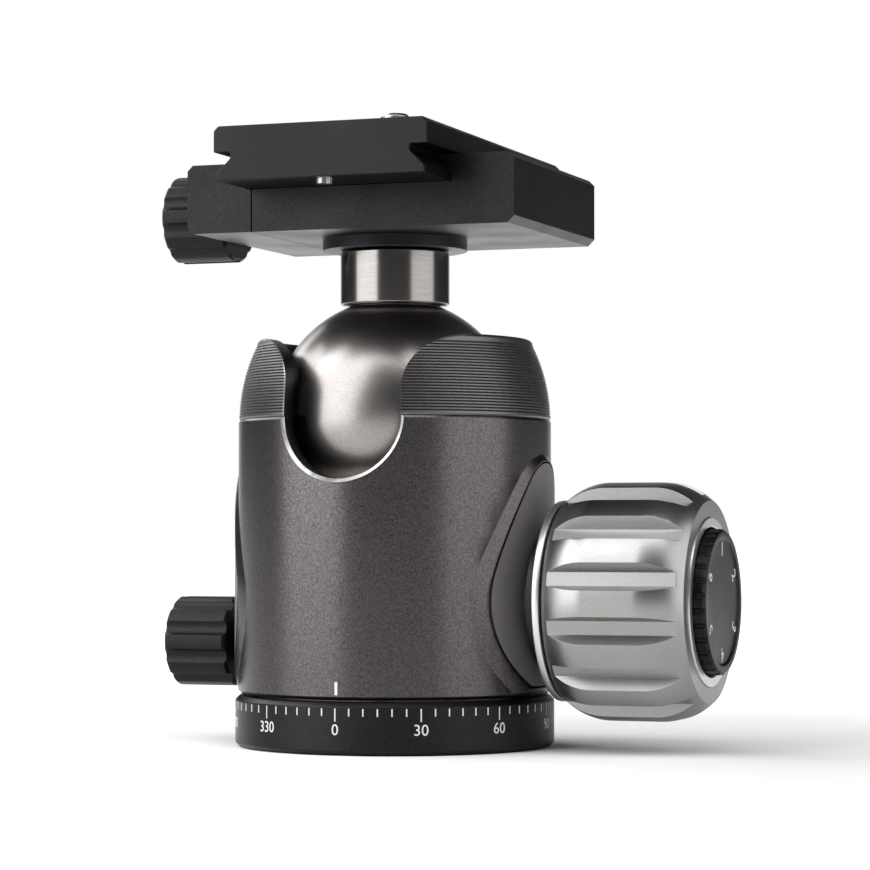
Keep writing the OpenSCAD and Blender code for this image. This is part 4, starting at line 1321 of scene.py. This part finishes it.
@dataclass
class Plate:
    """The quick-release plate with its grip pads and the camera screw."""

    size: Dimensions
    pad_w: float = 9.0
    ridge_pitch: float = 1.5
    ridge_h: float = 0.35
    screw_r: float = 3.175
    head_h: float = 3.4
    tip: float = 0.5
    slot_w: float = 1.2
    slot_depth: float = 1.4
    thread_pitch: float = 1.27
    thread_depth: float = 0.55
    thread_steps: int = 32

    def build(self) -> None:
        """Builds the plate's pieces."""
        crisp_copy("quick_plate", 0.3, "plate", Slot.BLACK)
        crisp_copy("plate_stops", 0.0, "plate", Slot.STEEL)
        self.pads()
        self.screw()

    def pads(self) -> None:
        """Both rubber pads, with ridges across them."""
        low, high = self.size.box("plate_pads")
        count = int((high.y - low.y) / self.ridge_pitch)
        pitch = (high.y - low.y) / count
        outline = [(low.y, low.z)]
        for i in range(count):
            y = low.y + i * pitch
            outline += [(y, high.z - self.ridge_h), (y + 0.3 * pitch, high.z), (y + 0.7 * pitch, high.z)]
        outline += [(high.y, high.z - self.ridge_h), (high.y, low.z)]
        flat = Matrix(((0, 0, 1, 0), (1, 0, 0, 0), (0, 1, 0, 0), (0, 0, 0, 1)))
        parts = [prism("pad", outline, self.pad_w, shift(x) @ flat) for x in (low.x, high.x - self.pad_w)]
        pads = joined("plate_pads_ribbed", parts)
        shade(pads, smooth_deg=20)
        finish_piece(pads, "plate", Slot.RUBBER, "plate_pads")

    def screw(self) -> None:
        """The camera screw, with a real thread and a coin slot in its head."""
        low, high = self.size.box("camera_screw")
        head_r, neck_z, tip_z = high.x, low.z + self.head_h, high.z - self.tip
        core = self.screw_r - self.thread_depth
        body = lathe("camera_screw_threaded", [
            (0.0, low.z), (head_r, low.z), (head_r, neck_z), (core, neck_z), (core, tip_z),
            (core - self.tip, high.z), (0.0, high.z),
        ], 96)
        half = self.slot_w / 2
        outline = rect(-head_r - 1, -half, head_r + 1, half)
        boolean(body, prism("slot_tool", outline, self.slot_depth + 1, shift(z=low.z - 1)))
        soften(body, 0.15)
        screw = joined("camera_screw_threaded", [body, self.thread(core, neck_z, tip_z)])
        finish_piece(screw, "camera_screw", Slot.STEEL, "camera_screw")

    def thread(self, core: float, low: float, high: float) -> Piece:
        """Winds one closed thread ridge around a core.

        Args:
            core: Radius of the core in millimetres.
            low: Lowest height of the ridge.
            high: Highest height of the ridge.

        Returns:
            The ridge.
        """
        r, steps = self.screw_r, self.thread_steps
        half, crest, root = self.thread_pitch * 0.42, 0.08, core - 0.1
        section = [(root, -half), (core, -half), (r, -crest), (r, crest), (core, half), (root, half)]
        count, n = int((high - low - 2 * half) / self.thread_pitch * steps), len(section)
        points, faces = [], []
        for i in range(count + 1):
            turn, z = 2 * math.pi * i / steps, low + half + self.thread_pitch * i / steps
            points += [(q * math.cos(turn), q * math.sin(turn), z + h) for q, h in section]
        for a in range(0, count * n, n):
            faces += [(a + k, a + (k + 1) % n, a + n + (k + 1) % n, a + n + k) for k in range(n)]
        faces += [tuple(range(n)), tuple(range(count * n, count * n + n))]
        ridge = face_outwards(new_piece("thread_ridge", points, faces=faces))
        shade(ridge, smooth_deg=30)
        return ridge


# ---- Hidden nodes, and the studio ----


def dress_nodes(frame: dict) -> None:
    """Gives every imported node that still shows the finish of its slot."""
    slots = {row["node"]: row["material_slot"] for row in frame["record"]["subparts"]}
    finishes = {slot.value[0]: slot.value[1] for slot in reversed(Slot)}
    for name, node in frame["nodes"].items():
        if node.hide_render:
            continue
        finish = finishes.get(slots.get(name, ""))
        if finish is None:
            continue
        node.data.materials.clear()
        node.data.materials.append(finish.make())


@dataclass
class Studio:
    """The camera, the pale floor, the backdrop's light and the lamps.

    Attributes:
        distance: From the camera to the pan axis, in millimetres.
        azimuth_deg: Turn of the camera from the front towards the lock knob.
        height: Height of the camera over the base.
        aim_right_deg: How far it aims to the right of the pan axis.
        pitch_deg: How far it looks up.
        focal_px: Focal length in pixels of the picture.
        picture_px: Width of the picture in pixels.
        sensor: Width of its sensor.
        room: Strength of the room's own light, where the backdrop is 1.
        aim_z: Height at which the lamps aim.
        backdrop_edge: Cosines between which the backdrop fades in, seen from the part.
    """

    distance: float = 534.0
    azimuth_deg: float = 21.0
    height: float = 38.0
    aim_right_deg: float = 0.77
    pitch_deg: float = 1.875
    focal_px: float = 2975.0
    picture_px: int = 870
    sensor: float = 36.0
    room: float = 0.05
    aim_z: float = 52.0
    backdrop_edge: Point = (0.88, 0.98)

    def build(self) -> None:
        """Builds the whole studio."""
        self.camera()
        self.world()
        self.floor()
        self.lamp("left_softbox", 3.4, (-42, 24, 950), (920, 1050))
        self.lamp("upper_left_softbox", 3.2, (-102, 40, 950), (1050, 760))
        self.lamp("right_softbox", 1.9, (82, 24, 950), (1000, 970))
        self.lamp("overhead_softbox", 3.4, (12, 64, 850), (800, 360))

    def camera(self) -> None:
        """Puts the camera at its place."""
        data = bpy.data.cameras.new("camera")
        data.sensor_width = self.sensor
        data.lens = self.focal_px / self.picture_px * self.sensor
        data.clip_start, data.clip_end = 0.01, 20
        camera = bpy.data.objects.new("camera", data)
        camera = bpy.data.objects.new("camera", data)
        bpy.context.scene.collection.objects.link(camera)
        turn = math.radians(self.azimuth_deg)
        spot = (self.distance * math.sin(turn), -self.distance * math.cos(turn), self.height)
        camera.location = Vector(spot) * MM
        heading = turn - math.radians(self.aim_right_deg)
        camera.rotation_euler = (math.radians(90 + self.pitch_deg), 0, heading)
        bpy.context.scene.camera = camera

    def world(self) -> None:
        """A plain surround: white where the camera looks and where the part mirrors the backdrop."""
        world = bpy.data.worlds.new("studio")
        bpy.context.scene.world = world
        tree = new_tree(world)
        path, way = add_node(tree, "LightPath").outputs, add_node(tree, "TexCoord").outputs["Generated"]
        turn = math.radians(self.azimuth_deg)
        to_backdrop = (-math.sin(turn), math.cos(turn), 0.0)
        behind = add_node(tree, "VectorMath", {"operation": "DOT_PRODUCT"}, {1: to_backdrop}, {0: way})
        backdrop = map_range(tree, behind.outputs["Value"], self.backdrop_edge, (0.0, 1.0), "SMOOTHSTEP")
        mirrored = combine(tree, "MULTIPLY", path["Is Glossy Ray"], backdrop)
        seen = combine(tree, "MAXIMUM", path["Is Camera Ray"], path["Is Transmission Ray"])
        white = combine(tree, "MAXIMUM", seen, mirrored)
        strength = map_range(tree, white, (0.0, 1.0), (self.room, 1.0))
        light = add_node(tree, "Background", inputs={"Color": (1, 1, 1, 1)}, links={"Strength": strength})
        add_node(tree, "OutputWorld", links={"Surface": light.outputs["Background"]})

    def floor(self) -> None:
        """A wide pale floor that keeps the object's shadow."""
        half = 6000.0
        ground = [(x, y, 0) for x, y in rect(-half, -half, half, half)]
        floor = new_piece("floor", ground, faces=[(0, 1, 2, 3)])
        floor.data.materials.append(floor_paint())

    def lamp(self, name: str, radiance: float, spot: tuple[float, float, float],
             span: tuple[float, float]) -> None:
        """Adds one softbox that faces the ball.

        Args:
            name: The lamp's name.
            radiance: How bright its face is, where the white backdrop is 1.
            spot: Its turn from the front towards the lock knob and its rise, in degrees, and its distance.
            span: Its width and height in millimetres.
        """
        data = bpy.data.lights.new(name, "AREA")
        data.shape = "RECTANGLE"
        data.size, data.size_y = span[0] * MM, span[1] * MM
        data.energy = radiance * math.pi * data.size * data.size_y
        lamp = bpy.data.objects.new(name, data)
        bpy.context.scene.collection.objects.link(lamp)
        turn, rise, reach = math.radians(spot[0]), math.radians(spot[1]), spot[2]
        aim = Vector((0, 0, self.aim_z))
        away = Vector((math.cos(rise) * math.sin(turn), -math.cos(rise) * math.cos(turn), math.sin(rise)))
        lamp.location = (aim + reach * away) * MM
        lamp.rotation_euler = (-away).to_track_quat("-Z", "Y").to_euler()


def floor_paint() -> bpy.types.Material:
    """Makes the floor: matt white paint that keeps the shadow and runs out into the white backdrop."""
    material = bpy.data.materials.new("paint, matt white floor")
    tree = new_tree(material)
    spot = add_node(tree, "TexCoord").outputs["Object"]
    path = add_node(tree, "LightPath").outputs
    reach = add_node(tree, "VectorMath", {"operation": "LENGTH"}, links={0: spot}).outputs["Value"]
    shadow_zone = (90 * MM, 260 * MM)
    far = map_range(tree, reach, shadow_zone, (0.0, 1.0), "SMOOTHSTEP")
    seen = combine(tree, "MAXIMUM", path["Is Camera Ray"], path["Is Glossy Ray"])
    coat = add_node(tree, "BsdfPrincipled", inputs={"Base Color": linear("#f4f4f3"), "Roughness": 0.8})
    glow = add_node(tree, "Emission", inputs={"Color": (1, 1, 1, 1), "Strength": 1.35})
    mixed = add_node(tree, "MixShader", links={
        0: combine(tree, "MULTIPLY", far, seen), 1: coat.outputs["BSDF"], 2: glow.outputs["Emission"],
    })
    add_node(tree, "OutputMaterial", links={"Surface": mixed.outputs["Shader"]})
    return material


def main() -> None:
    """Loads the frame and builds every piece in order."""
    logging.basicConfig(level=logging.INFO, format="%(name)s: %(message)s")
    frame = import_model()
    bpy.context.scene.view_settings.view_transform = "Standard"
    Studio().build()
    size = Dimensions()
    for kind in (Base, Housing, Ball, LockKnob, PanLock, Clamp, Plate):
        kind(size).build()
        LOG.info("built %s", kind.__name__)
    dress_nodes(frame)


if __name__ == "__main__":
    main()
